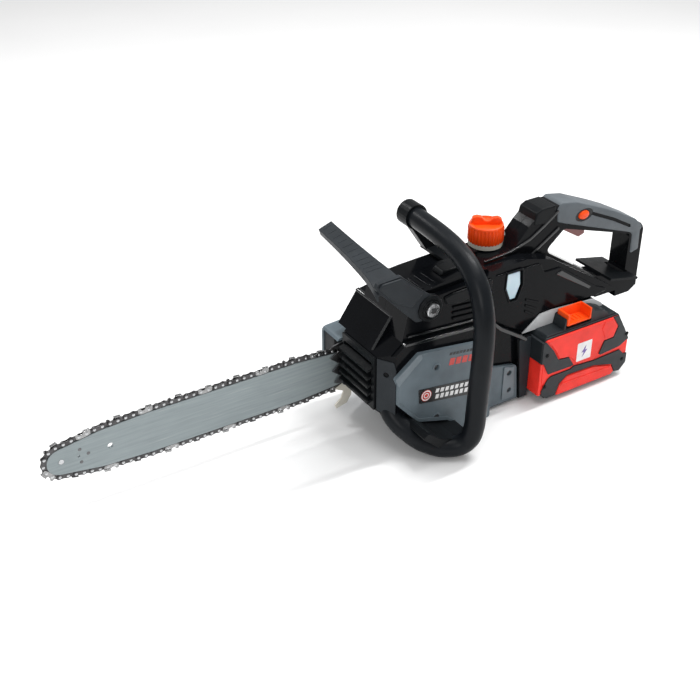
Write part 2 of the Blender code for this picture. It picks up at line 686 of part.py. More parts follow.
def front_handle():
    """Round handle with the web that ties its lower leg to the body."""
    web = outline("handle_web", [(-36, 41), (-8, 16), (10, 9), (22, 9), (22, 15), (8, 20), (-14, 31),
                                 (-30, 44)], -88, LEFT_FACE - GAP)
    handle = tube("front_handle", smooth_path(TUBE_PATH, 2), TUBE_R, 3)
    fuse(handle, web)
    cut(handle, block("handle_seat", (-70, LEFT_FACE - GAP, 0), (0, -20, 80)))
    return finish(handle, SOFT)


def handle_bracket():
    """Upright on the right that holds the handle's upper end."""
    web = outline("handle_bracket", [(31, 246), (30, 258), (54, 258), (112, 201.4), (112, 199.4),
                                     (62, 199.4)], 47, 60)
    fuse(web, rod("bracket_socket", (43, 56, 250.7), "Y", 15.5, 20, 28))
    hole = rod("socket_hole", (43, 53, 250.7), "Y", TUBE_R + 0.8, 19.4, 28)
    foot = block("bracket_foot", (60, 8, 200.4), (108, 60, 204.4))
    fuse(web, foot)
    cut(web, hole)
    return finish(web, BLACK)


def hand_guard():
    """Guard with its arm and hub, turning on the pivot bolt."""
    axis = (PIVOT_X, 0, PIVOT_Z)
    blade = block("hand_guard", (-9, -40, -3), (9, 84, 3))
    place = (Matrix.Translation((-59 * MM, 0, 246 * MM)) @ Matrix.Rotation(math.radians(3), 4, "X")
             @ Matrix.Rotation(math.radians(-18), 4, "Y"))
    blade.data.transform(place)
    lip = block("guard_lip", (-9, -40, -10), (-6, 84, 0.5))
    lip.data.transform(place)
    arm = outline("guard_arm", rounded([(-68, 236, 4), (-52, 249, 4), (-24, 224, 12), (10, 194, 8),
                                        (4, 174, 8), (-16, 178, 6), (-36, 204, 10)]), -50, UPPER_FACE - GAP)
    root = block("guard_root", (-8, -49.5, -2.5), (8, -38, 2.5))
    root.data.transform(place)
    fuse(blade, lip, root, arm, rod("guard_hub", (PIVOT_X, -48.4, PIVOT_Z), "Y", 13.5, 8.0, 28))
    cut(blade, rod("guard_bore", (PIVOT_X, -48, PIVOT_Z), "Y", 5.05, 40, 24))
    return finish(blade, DARK)


def pivot_bolt():
    bolt = turned("guard_pivot_bolt", [(0, -36), (4.0, -36), (4.0, -43.5), (5.0, -43.6), (5.0, -52.7),
                                       (8.5, -52.7), (8.5, -57.5), (7.6, -58.3), (0, -58.3)][::-1],
                  (PIVOT_X, 0, PIVOT_Z), "Y", 24)
    cut(bolt, rod("hex_socket", (PIVOT_X, -58, PIVOT_Z), "Y", 3.4, 6, 6))
    return finish(bolt, STEEL)


# ---------------------------------------------------------------- rear handle
def ellipse(x, z, a, b, sides=20):
    step = 2 * math.pi / sides
    return [(x + a * math.cos(i * step), z + b * math.sin(i * step)) for i in range(sides)]


def grip_cover():
    """Soft overmould on the rear handle's top."""
    top = [(212, 248.8), (238.1, 243.3), (282.1, 224.9), (309.1, 212.3), (345.2, 193.3),
           (361.3, 179.2), (362.3, 150)]
    lifted = [(366, 150), (364.2, 180.4), (347.2, 196.2), (310.6, 215.5), (283.5, 228.2),
              (239.2, 246.8), (212, 252.3)]
    skin = outline("rear_grip", top + lifted, -HANDLE_HALF, HANDLE_HALF)
    return finish(skin, SOFT)


def build_trigger():
    blade = outline("trigger", rounded([(225, 230, 2), (238, 227, 2), (262, 213, 2), (268, 193, 2),
                                        (258, 190, 2), (232, 206, 2), (223.5, 217, 2)], 2), -6, 6)
    cut(blade, rod("trigger_bore", (231, 0, 224), "Y", 1.8, 40, 16))
    finish(blade, RED)
    finish(rod("trigger_pin", (231, 0, 224), "Y", 1.6, 27, 16), STEEL)
    finish(block("trigger_switch", (278, -8, 203.5), (296, 8, 210.5)), DARK)


def lock_off_button():
    button = outline("lock_off_button", ellipse(253, 226, 8.5, 6), -18, -10.5)
    fuse(button, block("lockoff_stem", (250, -11, 224), (256, -6, 228)))
    return finish(button, ORANGE)


def protector():
    """Sloping plate in the rear handle's opening, with a wing on each side of the rear post."""
    wing, notch, long, short = 34, HANDLE_HALF + 0.7, 50, 35.5
    corners = [(0, -wing), (long, -wing), (long, -notch), (short, -notch),
               (short, notch), (long, notch), (long, wing), (0, wing)]
    plate = outline("hand_protector", corners, -1.6, 1.6, "XY")
    plate.data.transform(Matrix.Translation((297 * MM, 0, 129.4 * MM))
                         @ Matrix.Rotation(math.radians(12.4), 4, "Y"))
    return finish(plate, DARK)


# ---------------------------------------------------------------- oil system
def window_opening(grow):
    g = grow
    return outline("window_opening", [(121 - g, 188 + g), (139 + g, 188 + g), (141 + g, 170),
                                      (134 + g, 153 - g), (127 - g, 153 - g), (120 - g, 170)], -40, -30)


def neck_hole():
    return rod("neck_hole", (CAP_X, CAP_Y, 195), "Z", 16.4, 40, 32)


def cap_space():
    return rod("cap_space", (CAP_X, CAP_Y, 226.4), "Z", CAP_R + 1.2, 50, 32)


def oil_system():
    tank = block("oil_tank", (99, -32.3, 112), (141.5, 35.5, 191.5))
    fuse(tank, rod("filler_neck", (CAP_X, CAP_Y, 203), "Z", 15.6, 36, 32))
    room = block("tank_room", (101, -30.3, 114), (139.5, 33.5, 189.5))
    fuse(room, rod("neck_room", (CAP_X, CAP_Y, 205), "Z", 12.5, 40, 32))
    cut(tank, room)
    finish(tank, CLEAR)
    pane = outline("oil_window", [(121, 188), (139, 188), (141, 170), (134, 153), (127, 153), (120, 170)],
                   -36.6, -32.6)
    finish(pane, CLEAR)
    ring = turned("filler_ring", [(21.5, CAP_Z - GAP), (21.5, 201.8), (16.0, 201.8), (16.0, CAP_Z - GAP)],
                  (CAP_X, CAP_Y, 0), "Z", 32)
    finish(ring, CREAM)
    top = CAP_Z + CAP_HEIGHT
    cap = turned("oil_cap", [(0, top), (CAP_R - 1.5, top), (CAP_R, top - 1.5), (CAP_R, CAP_Z), (16.4, CAP_Z),
                             (16.4, top - 4), (0, top - 4)], (CAP_X, CAP_Y, 0), "Z", 40)
    wing = block("cap_wing", (CAP_X - 4, CAP_Y - 20, top - 1), (CAP_X + 4, CAP_Y + 20, top + 6))
    fuse(cap, wing)
    finish(cap, ORANGE)
    seal = turned("cap_seal", [(15.4, top - 4.3), (15.4, 221.4), (12.7, 221.4), (12.7, top - 4.3)],
                  (CAP_X, CAP_Y, 0), "Z", 32)
    finish(seal, SOFT)
    pump = block("oil_pump", (17, 12, 14), (41, 37, 40))
    fuse(pump, rod("pump_nozzle", (38, 24, 28), "X", 3.0, 14, 16))
    finish(pump, DARK)
    hose = tube("oil_hose", smooth_path([(112, 20, 111.5), (112, 20, 96), (104, 21, 70), (82, 23, 42),
                                         (60, 24, 30), (45.5, 24, 28)], 4), 3.0, 2)
    finish(hose, SOFT)


# ---------------------------------------------------------------- electrics and battery
def electrics():
    plate = block("motor_controller", (100, -30, 14), (103, 10, 90))
    for k in range(4):
        fuse(plate, block("heat_fin", (102.5, -28 + 11 * k, 18), (118, -25 + 11 * k, 86)))
    finish(plate, STEEL)
    terminals = block("terminal_block", (200.4, 14.6, 60.4), (261.6, 23, 83.6))
    for k in range(4):
        cut(terminals, block("contact_slot", (206 + 14 * k, 10, 64), (212 + 14 * k, 20, 80)))
    finish(terminals, DARK)


def battery():
    (x0, y0, z0), (x1, y1, z1) = BATTERY
    case = outline("battery_case", rounded([(x0, z0 + 10, 3), (x0 + 10, z0, 3), (x1 - 12, z0, 3),
                                            (x1, z0 + 12, 3), (x1, 56, 3), (290, z1, 3), (x0 + 5, z1, 3),
                                            (x0, z1 - 8, 3)], 2), y0, y1)
    cut(case, outline("case_room", [(x0 + 6, 18), (x0 + 12, z0 + 4), (x1 - 14, z0 + 4), (x1 - 4, 20),
                                    (x1 - 4, 54), (288, z1 + 3), (x0 + 8, z1 + 3)], y0 + 3, y1 - 3))
    finish(case, RED)
    lid = outline("battery_top_shell", [(188, z1 + GAP), (289, z1 + GAP), (288, 112), (272, 113),
                                        (190, 100)], y0 + 2, y1)
    cut(lid, block("latch_pocket", (202.4, -70, z1 + 1.6), (243.6, -39.4, 130)))
    finish(lid, DARK)
    latch = block("battery_latch", (203, -62, 102), (243, -40, 119))
    cut(latch, block("latch_recess", (208, -66, 105), (238, -46, 125)))
    finish(latch, ORANGE)
    front = outline("battery_bumper_front", rounded([(162, 88, 2), (176, 95, 2), (186, 78, 3), (204, 74, 3),
                                                     (208, 60, 3), (176, 46, 3), (163, 50, 2)]),
                    y0 - 3.3, y0 - GAP)
    finish(front, BLACK)
    rear = outline("battery_bumper_rear", rounded([(252, 62, 3), (262, 78, 3), (284, 92, 3), (308, 58, 3),
                                                   (308, 34, 3), (292, 30, 3), (262, 40, 3)]),
                   y0 - 3.3, y0 - GAP)
    finish(rear, BLACK)
    label = outline("battery_label", rounded([(214, 48, 1), (234, 48, 1), (234, 72, 1), (214, 72, 1)]),
                    y0 - 1.1, y0 - GAP)
    finish(label, WHITE)
    cells = block("battery_cells", (176, -56, 14), (286, -52, 84))
    fuse(cells, block("cell_holder", (176, 4, 14), (286, 8, 84)))
    for k in range(5):
        for z in (28, 50, 72):
            fuse(cells, rod("cell", (188 + 21.5 * k, -24, z), "Y", 9.2, 60, 12))
    finish(cells, GREEN)


def screws():
    """Visible screws, each in the recess of the cover that it holds."""
    for name, x, y, z in (("side_cover_screw", 6, -52.6, 107), ("rear_cover_screw_upper", 131, -38.4, 48),
                          ("rear_cover_screw_lower", 133, -38.4, 22)):
        finish(rod(name, (x, y, z), "Y", 3.0, 3.0, 16), STEEL)


# ---------------------------------------------------------------- build
def build():
    guide_bar()
    chain()
    nose_sprocket()
    nose_rivet()
    tension_parts()
    bar_plate()
    stud_and_nut()
    bumper()
    chain_catcher()
    rotor_set()
    stator_and_bearings()
    left_housing()
    right_housing()
    side_cover()
    rear_foot()
    base_pad()
    front_grille()
    front_box()
    sprocket_cover()
    front_handle()
    handle_bracket()
    hand_guard()
    pivot_bolt()
    grip_cover()
    build_trigger()
    lock_off_button()
    protector()
    oil_system()
    electrics()
    battery()
    screws()


build()
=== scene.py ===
"""Looks for the battery chainsaw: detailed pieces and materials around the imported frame.

Same frame as the CAD: bar tip towards -X, rear handle towards +X, bar on the +Y side, +Z up.
Shapes are written in millimetres and scaled on the way in.
"""
import math

import bmesh
import bpy
from mathutils import Matrix, Vector


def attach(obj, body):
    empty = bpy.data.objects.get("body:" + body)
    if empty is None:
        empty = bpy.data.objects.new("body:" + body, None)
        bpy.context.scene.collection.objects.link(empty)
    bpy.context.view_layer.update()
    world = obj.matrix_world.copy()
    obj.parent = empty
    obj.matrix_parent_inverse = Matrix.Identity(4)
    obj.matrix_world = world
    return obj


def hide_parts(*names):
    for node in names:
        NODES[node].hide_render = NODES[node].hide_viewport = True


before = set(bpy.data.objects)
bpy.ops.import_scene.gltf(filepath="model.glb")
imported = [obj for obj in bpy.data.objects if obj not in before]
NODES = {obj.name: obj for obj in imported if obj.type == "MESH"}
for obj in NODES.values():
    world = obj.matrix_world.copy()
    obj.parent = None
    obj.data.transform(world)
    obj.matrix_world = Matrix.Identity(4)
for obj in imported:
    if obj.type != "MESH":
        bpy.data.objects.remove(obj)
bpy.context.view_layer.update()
MM = 0.001

# ---------------------------------------------------------------- main dimensions (mm)
# They match the CAD, but the tube handle's front end runs on into the housing's corner.
AXIS_Z = 72.6                # middle line of the bar, through both sprockets
BAR_Y = 50.0
NOSE_X = -419.4
# Half height of the bar's rail along it, as circles (x, radius) that the chain wraps.
RAIL = [(NOSE_X, 16.5), (-370.0, 24.3), (-315.0, 27.0), (-120.0, 27.0), (-52.0, 22.0), (0.0, 13.5)]
PIVOT = (-3.0, 187.0)        # hand guard's hinge, x and z
TUBE_R = 12.5
TUBE_PATH = [(43, 62, 251), (43, 30, 249.5), (43, -5, 247), (42.5, -35, 242), (41.5, -62, 232),
             (39.5, -84, 214), (37, -98, 190), (35, -104, 164), (33, -105.5, 130), (31, -105.5, 95),
             (29.5, -105.5, 62), (28, -105.5, 42), (24, -103, 26), (13, -97, 16), (-6, -86, 15),
             (-24, -72, 22), (-35, -60, 32), (-42, -49, 41), (-45, -37, 51), (-43, -25, 60)]
CAP = (132.0, 24.0, 207.5)   # middle of the filler cap's lower edge
CAP_R = 22.5
CAP_HEIGHT = 22.5
CASE = ((165.0, -63.0, 5.0), (312.0, 14.0, 96.0))     # battery case: lowest and highest corner
BUTTON = (253.0, 226.0)      # middle of the lock-off button, x and z


# ---------------------------------------------------------------- materials
class Graph:
    """Small helper round one material's node tree."""

    def __init__(self, name):
        self.mat = bpy.data.materials.new(name)
        self.mat.use_nodes = True
        self.tree = self.mat.node_tree
        self.shader = self.tree.nodes["Principled BSDF"]
        self.coords = self.tree.nodes.new("ShaderNodeTexCoord").outputs["Object"]

    def node(self, kind, **inputs):
        made = self.tree.nodes.new(kind)
        for key, value in inputs.items():
            made.inputs[key.replace("_", " ")].default_value = value
        return made

    def link(self, out, into):
        self.tree.links.new(out, into)

    def noise(self, scale, detail=3.0, stretch=None):
        made = self.node("ShaderNodeTexNoise", Scale=scale, Detail=detail)
        if stretch:
            place = self.tree.nodes.new("ShaderNodeMapping")
            place.inputs["Scale"].default_value = stretch
            self.link(self.coords, place.inputs["Vector"])
            self.link(place.outputs["Vector"], made.inputs["Vector"])
        else:
            self.link(self.coords, made.inputs["Vector"])
        return made.outputs["Fac"]

    def ramp(self, value, stops):
        made = self.tree.nodes.new("ShaderNodeValToRGB")
        self.link(value, made.inputs["Fac"])
        bar = made.color_ramp.elements
        while len(bar) < len(stops):
            bar.new(0.5)
        for element, (place, colour) in zip(bar, stops):
            element.position = place
            element.color = (*colour, 1) if isinstance(colour, tuple) else (colour, colour, colour, 1)
        return made.outputs["Color"]

    def mix(self, factor, a, b):
        made = self.tree.nodes.new("ShaderNodeMix")
        made.data_type = "RGBA"
        for key, value in ((0, factor), (6, a), (7, b)):
            if isinstance(value, bpy.types.NodeSocket):
                self.link(value, made.inputs[key])
            elif isinstance(value, tuple):
                made.inputs[key].default_value = (*value, 1)
            else:
                made.inputs[key].default_value = value
        return made.outputs[2]

    def bump(self, height, strength, distance):
        made = self.node("ShaderNodeBump", Strength=strength, Distance=distance)
        self.link(height, made.inputs["Height"])
        return made

    def set(self, **values):
        for key, value in values.items():
            self.shader.inputs[key.replace("_", " ")].default_value = value


def shade(colour, factor):
    return tuple(min(1.0, c * factor) for c in colour)


def moulded(name, colour, rough, grain=2600.0, bump=0.12, spread=0.06, specular=0.5, wear=0.0):
    """Injection-moulded plastic: fine grain, cloudy roughness, faint colour drift and scuffs."""
    g = Graph(name)
    g.set(Specular_IOR_Level=specular)
    cloud = g.noise(38.0, 4.0)
    tint = g.ramp(cloud, [(0.3, shade(colour, 0.86)), (0.7, shade(colour, 1.14))])
    if wear:
        scuff = g.ramp(g.noise(210.0, 6.0, (1.0, 1.0, 4.0)), [(0.62, 0.0), (0.78, wear)])
        tint = g.mix(scuff, tint, tuple(0.55 * c + 0.18 for c in colour))
    g.link(tint, g.shader.inputs["Base Color"])
    g.link(g.ramp(g.noise(90.0, 5.0), [(0.3, max(0.03, rough - spread)), (0.7, rough + spread)]),
           g.shader.inputs["Roughness"])
    fine = g.bump(g.noise(grain, 2.0), bump, 0.0003)
    wave = g.bump(g.noise(26.0, 2.0), 0.05, 0.002)
    g.link(wave.outputs["Normal"], fine.inputs["Normal"])
    g.link(fine.outputs["Normal"], g.shader.inputs["Normal"])
    return g.mat


def steel(name, colour, rough, scale=700.0, bump=0.15, dirt=0.0):
    """Metal with a fine grain, small stains and a changing roughness."""
    g = Graph(name)
    g.set(Metallic=1.0)
    brush = g.noise(scale, 3.0)
    tint = g.ramp(brush, [(0.3, shade(colour, 0.82)), (0.7, shade(colour, 1.15))])
    if dirt:
        stain = g.ramp(g.noise(60.0, 6.0), [(0.5, 0.0), (0.72, dirt)])
        tint = g.mix(stain, tint, shade(colour, 0.25))
    g.link(tint, g.shader.inputs["Base Color"])
    g.link(g.ramp(g.noise(120.0, 5.0), [(0.3, max(0.05, rough - 0.08)), (0.7, rough + 0.1)]),
           g.shader.inputs["Roughness"])
    g.link(g.bump(brush, bump, 0.0002).outputs["Normal"], g.shader.inputs["Normal"])
    return g.mat


BLACK = moulded("gloss_black", (0.0035, 0.004, 0.005), 0.14, grain=900.0, bump=0.02, spread=0.03,
        specular=0.08)
# Black plastic for the ledges, rails and rims. Its stronger specular catches the softboxes, and its
# base colour is a little lighter than the gloss black. That lighter base is painted highlight, so these
# pieces read as highlight lines.
EDGE_HIGHLIGHT = moulded("edge_gloss_painted_highlight", (0.006, 0.007, 0.008), 0.16, grain=900.0, bump=0.02, spread=0.03,
        specular=0.6)
SATIN_BLACK = moulded("satin_black", (0.006, 0.007, 0.008), 0.34, bump=0.14, specular=0.1)
TEXTURED = moulded("textured_grey", (0.019, 0.023, 0.027), 0.46, grain=1500.0, bump=0.4, specular=0.18,
        wear=0.06)
TUBE_SOFT = moulded("tube_soft_touch", (0.006, 0.0075, 0.0095), 0.34, grain=2200.0, bump=0.1,
        specular=0.14)
GRIP = moulded("grip_overmould", (0.085, 0.1, 0.112), 0.55, grain=1300.0, bump=0.35)
GREY = moulded("cover_grey", (0.108, 0.138, 0.158), 0.4, grain=1500.0, bump=0.25, specular=0.3,
        wear=0.05)
GREY_LIGHT = moulded("trim_grey", (0.15, 0.18, 0.2), 0.4, grain=1500.0, bump=0.2, specular=0.3)
ORANGE = moulded("orange_plastic", (0.92, 0.075, 0.006), 0.34, grain=1800.0, bump=0.12, specular=0.25)
RED = moulded("battery_red", (0.84, 0.034, 0.022), 0.36, grain=1800.0, bump=0.15, specular=0.25,
        wear=0.03)
TRIGGER = moulded("trigger_red_grey", (0.2, 0.06, 0.055), 0.4, grain=1800.0, bump=0.15)
CASE_DARK = moulded("battery_dark", (0.014, 0.018, 0.021), 0.45, grain=1300.0, bump=0.3, specular=0.3)
CREAM = moulded("neck_cream", (0.66, 0.63, 0.55), 0.5, grain=1500.0, bump=0.15)
RUBBER = moulded("rubber", (0.02, 0.021, 0.022), 0.75, grain=1200.0, bump=0.3)
# Pale grey, used only on the strip along the battery bay's edge. It is a painted highlight that stands
# for the bright reflection there.
PALE_HIGHLIGHT = moulded("painted_highlight_pale", (0.58, 0.59, 0.6), 0.36, grain=1500.0, bump=0.08)
BRIGHT = steel("bright_steel", (0.55, 0.56, 0.57), 0.25, bump=0.1)
DARK_STEEL = steel("dark_steel", (0.16, 0.16, 0.165), 0.36, dirt=0.5)
CHAIN = steel("chain_steel", (0.1, 0.098, 0.1), 0.34, dirt=0.55, scale=500.0)
CUTTER = steel("cutter_chrome", (0.34, 0.34, 0.34), 0.22, dirt=0.35, scale=500.0)
COPPER = steel("copper_winding", (0.6, 0.25, 0.1), 0.35)
CAST = steel("cast_aluminium", (0.5, 0.52, 0.53), 0.45, bump=0.3)


def bar_material():
    """Grey baked paint on the bar: long fine strokes, faint stains and scratches."""
    g = Graph("bar_paint")
    g.set(Metallic=0.35, Coat_Weight=0.15, Coat_Roughness=0.2)
    stroke = g.noise(420.0, 3.0, (0.04, 1.0, 1.0))
    tint = g.ramp(stroke, [(0.25, (0.235, 0.275, 0.285)), (0.75, (0.3, 0.345, 0.355))])
    cloud = g.ramp(g.noise(9.0, 4.0), [(0.35, 0.0), (0.75, 0.28)])
    tint = g.mix(cloud, tint, (0.2, 0.235, 0.245))
    scratch = g.ramp(g.noise(900.0, 2.0, (0.02, 1.0, 1.0)), [(0.66, 0.0), (0.72, 0.5)])
    tint = g.mix(scratch, tint, (0.42, 0.44, 0.45))
    g.link(tint, g.shader.inputs["Base Color"])
    g.link(g.ramp(g.noise(70.0, 5.0), [(0.3, 0.34), (0.7, 0.5)]), g.shader.inputs["Roughness"])
    g.link(g.bump(stroke, 0.1, 0.0002).outputs["Normal"], g.shader.inputs["Normal"])
    return g.mat


def clear_material():
    """Milky translucent tank plastic."""
    g = Graph("tank_window")
    g.set(Roughness=0.18, Specular_IOR_Level=0.6, Subsurface_Weight=0.25, Subsurface_Scale=0.004,
          Coat_Weight=0.4, Coat_Roughness=0.08)
    g.link(g.ramp(g.noise(30.0, 3.0), [(0.3, (0.42, 0.58, 0.68)), (0.7, (0.6, 0.74, 0.82))]),
           g.shader.inputs["Base Color"])
    g.link(g.bump(g.noise(300.0, 2.0), 0.08, 0.0003).outputs["Normal"], g.shader.inputs["Normal"])
    return g.mat


BAR = bar_material()
CLEAR = clear_material()
WHITE = moulded("label_white", (0.82, 0.82, 0.82), 0.35, bump=0.04)
LABEL_BLACK = moulded("label_black", (0.01, 0.01, 0.011), 0.3, bump=0.03)
LABEL_RED = moulded("label_red", (0.55, 0.04, 0.03), 0.35, bump=0.03)
LABEL_INK = moulded("label_ink", (0.16, 0.1, 0.35), 0.4, bump=0.03)


# ---------------------------------------------------------------- mesh helpers
def rounded(points, steps=5):
    """Outline with arcs at the corners given as (x, z, radius)."""
    out = []
    count = len(points)
    for i, point in enumerate(points):
        if len(point) == 2 or point[2] == 0:
            out.append((point[0], point[1]))
            continue
        here = Vector(point[:2])
        back = (Vector(points[i - 1][:2]) - here).normalized()
        ahead = (Vector(points[(i + 1) % count][:2]) - here).normalized()
        half = back.angle(ahead) / 2
        centre = here + (back + ahead).normalized() * (point[2] / math.sin(half))
        start = here + back * (point[2] / math.tan(half)) - centre
        turn = start.angle_signed(here + ahead * (point[2] / math.tan(half)) - centre)
        for k in range(steps + 1):
            spoke = start.copy()
            spoke.rotate(Matrix.Rotation(-turn * k / steps, 2))
            out.append(tuple(centre + spoke))
    return out


def repeated(points, count, dx=0.0, dz=0.0):
    """The outline count times, each one moved on by (dx, dz)."""
    return [[(x + dx * k, z + dz * k) for x, z in points] for k in range(count)]


def ellipse(x, z, a, b, sides=32):
    step = 2 * math.pi / sides
    return [(x + a * math.cos(i * step), z + b * math.sin(i * step)) for i in range(sides)]


def circle(x, z, radius, sides=32):
    return ellipse(x, z, radius, radius, sides)


def lift(u, v, w, plane):
    """Point of a plane's outline (mm) at height w, in metres."""
    if plane == "XZ":
        return Vector((u, w, v)) * MM
    if plane == "YZ":
        return Vector((w, u, v)) * MM
    return Vector((u, v, w)) * MM


def mesh_object(name, bm):
    """New object from bm, which is freed; loose doubles merge and the faces look outwards."""
    bmesh.ops.remove_doubles(bm, verts=bm.verts, dist=0.000001)
    bmesh.ops.recalc_face_normals(bm, faces=bm.faces)
    mesh = bpy.data.meshes.new(name)
    bm.to_mesh(mesh)
    bm.free()
    obj = bpy.data.objects.new(name, mesh)
    bpy.context.scene.collection.objects.link(obj)
    return obj


def add_slab(bm, points, low, high, plane="XZ", shift=None):
    """Prism over an outline; shift is a 4x4 in metres applied to it."""
    ends = []
    for w in (low, high):
        ends.append([bm.verts.new(lift(u, v, w, plane)) for u, v in points])
    count = len(points)
    bm.faces.new(ends[0])
    bm.faces.new(ends[1][::-1])
    for i in range(count):
        j = (i + 1) % count
        bm.faces.new((ends[0][i], ends[0][j], ends[1][j], ends[1][i]))
    if shift is not None:
        bmesh.ops.transform(bm, matrix=shift, verts=ends[0] + ends[1])


def slab(name, points, low, high, plane="XZ", shift=None):
    bm = bmesh.new()
    add_slab(bm, points, low, high, plane, shift)
    return mesh_object(name, bm)


def box_shape(name, low, high):
    return slab(name, [(low[0], low[1]), (high[0], low[1]), (high[0], high[1]), (low[0], high[1])],
                low[2], high[2], "XY")


FACING = {"Y": Matrix.Rotation(-math.pi / 2, 4, "X"), "-Y": Matrix.Rotation(math.pi / 2, 4, "X")}


def add_ring(bm, profile, centre, axis, steps=48):
    """Turned shape: profile of (radius, height) in mm along +Y or -Y from centre."""
    place = Matrix.Translation([c * MM for c in centre]) @ FACING[axis]
    rows = []
    for radius, height in profile:
        if radius < 1e-6:
            rows.append([bm.verts.new(place @ Vector((0, 0, height * MM)))])
            continue
        rows.append([bm.verts.new(place @ Vector((radius * MM * math.cos(2 * math.pi * k / steps),
                radius * MM * math.sin(2 * math.pi * k / steps), height * MM))) for k in range(steps)])
    pairs = list(zip(rows, rows[1:]))
    if len(rows[0]) > 1 and len(rows[-1]) > 1:
        pairs.append((rows[-1], rows[0]))
    for a, b in pairs:
        for k in range(steps):
            m = (k + 1) % steps
            ring = [a[k % len(a)], a[m % len(a)], b[m % len(b)], b[k % len(b)]]
            unique = []
            for vert in ring:
                if vert not in unique:
                    unique.append(vert)
            if len(unique) > 2:
                bm.faces.new(unique)


def bridge(bm, rows):
    """Quads between rings of the same number of vertices, and a cap at both ends."""
    count = len(rows[0])
    for a, b in zip(rows, rows[1:]):
        for k in range(count):
            m = (k + 1) % count
            bm.faces.new((a[k], a[m], b[m], b[k]))
    bm.faces.new(rows[0])
    bm.faces.new(rows[-1][::-1])


def smooth_path(points):
    """Smooth curve through points, in eight steps from each one to the next."""
    per_span = 8
    pts = [Vector(p) for p in points]
    pts = [2 * pts[0] - pts[1]] + pts + [2 * pts[-1] - pts[-2]]
    out = []
    for i in range(1, len(pts) - 2):
        a, b, c, d = pts[i - 1:i + 3]
        square, cube = 2 * a - 5 * b + 4 * c - d, 3 * b - a - 3 * c + d
        for k in range(per_span):
            t = k / per_span
            out.append(0.5 * (2 * b + (c - a) * t + square * t * t + cube * t ** 3))
    out.append(pts[-2])
    return out


def swept(name, points, radius, sides):
    """Closed round bar along points (mm)."""
    bm = bmesh.new()
    count = len(points)
    tangent = [(points[min(i + 1, count - 1)] - points[max(i - 1, 0)]).normalized()
               for i in range(count)]
    side = tangent[0].orthogonal().normalized()
    rows = []
    for i, p in enumerate(points):
        side = (side - tangent[i] * side.dot(tangent[i])).normalized()
        other = tangent[i].cross(side)
        row = []
        for k in range(sides):
            angle = 2 * math.pi * k / sides
            spoke = side * math.cos(angle) + other * math.sin(angle)
            row.append(bm.verts.new((p + spoke * radius) * MM))
        rows.append(row)
    bridge(bm, rows)
    return mesh_object(name, bm)


def apply_all(obj):
    """Bakes the object's modifiers into its mesh."""
    depsgraph = bpy.context.evaluated_depsgraph_get()
    depsgraph.update()
    mesh = bpy.data.meshes.new_from_object(obj.evaluated_get(depsgraph))
    obj.modifiers.clear()
    obj.data = mesh
    return obj


def boolean(obj, operation, *tools):
    for tool in tools:
        mod = obj.modifiers.new(operation, "BOOLEAN")
        mod.operation = operation
        mod.solver = "EXACT"
        mod.object = tool
    apply_all(obj)
    for tool in tools:
        bpy.data.objects.remove(tool, do_unlink=True)
    return obj


def cut(obj, *tools):
    return boolean(obj, "DIFFERENCE", *tools)


def bevel_edges(obj, bevel, segments, angle):
    if not bevel:
        return
    mod = obj.modifiers.new("edges", "BEVEL")
    mod.width = bevel * MM
    mod.segments = segments
    mod.limit_method = "ANGLE"
    mod.angle_limit = math.radians(angle)
    mod.harden_normals = True


def soften(obj, bevel=0.0, segments=3, angle=30.0):
    """Rounded edges and clean shading."""
    bevel_edges(obj, bevel, segments, angle)
    obj.data.shade_smooth()
    obj.data.set_sharp_from_angle(angle=math.radians(max(angle, 32.0)))
    return obj


def soften_now(obj, bevel, segments=3):
    """Rounds the edges in the mesh itself, before further cuts."""
    soften(obj, bevel, segments)
    return apply_all(obj)


def piece(obj, mat, body="housing", nodes=(), bevel=0.0, segments=3):
    """Finishes a new piece: looks, body and the CAD nodes that it stands for."""
    obj.data.materials.clear()
    obj.data.materials.append(mat)
    soften(obj, bevel, segments)
    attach(obj, body)
    if nodes:
        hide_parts(*nodes)
    return obj


def dress(node, mat, bevel=0.0, segments=2):
    """New material and rounded edges on a CAD node that stays."""
    obj = NODES[node]
    obj.data.materials.clear()
    obj.data.materials.append(mat)
    bevel_edges(obj, bevel, segments, 40.0)


# ---------------------------------------------------------------- chain
def hull(points):
    """Convex outline round points, which is how a taut chain lies."""
    pts = sorted(set((round(x, 4), round(z, 4)) for x, z in points))

    def half(seq):
        row = []
        for p in seq:
            while len(row) > 1:
                (ax, az), (bx, bz) = row[-2:]
                if (bx - ax) * (p[1] - az) - (bz - az) * (p[0] - ax) > 0:
                    break
                row.pop()
            row.append(p)
        return row[:-1]

    return half(pts) + half(pts[::-1])


def rivet_points(offset, wanted):
    """Evenly spaced points along the loop, going over the top towards the nose."""
    dots = []
    for x, radius in RAIL:
        dots += circle(x, AXIS_Z, radius + offset, 180)
    loop = [Vector(p) for p in hull(dots)]
    lengths = [(loop[(i + 1) % len(loop)] - loop[i]).length for i in range(len(loop))]
    step = sum(lengths) / wanted
    out = []
    index, walked = 0, 0.0
    for k in range(wanted):
        target = k * step
        while walked + lengths[index] < target:
            walked += lengths[index]
            index += 1
        a, b = loop[index], loop[(index + 1) % len(loop)]
        out.append(a.lerp(b, (target - walked) / lengths[index]))
    return out


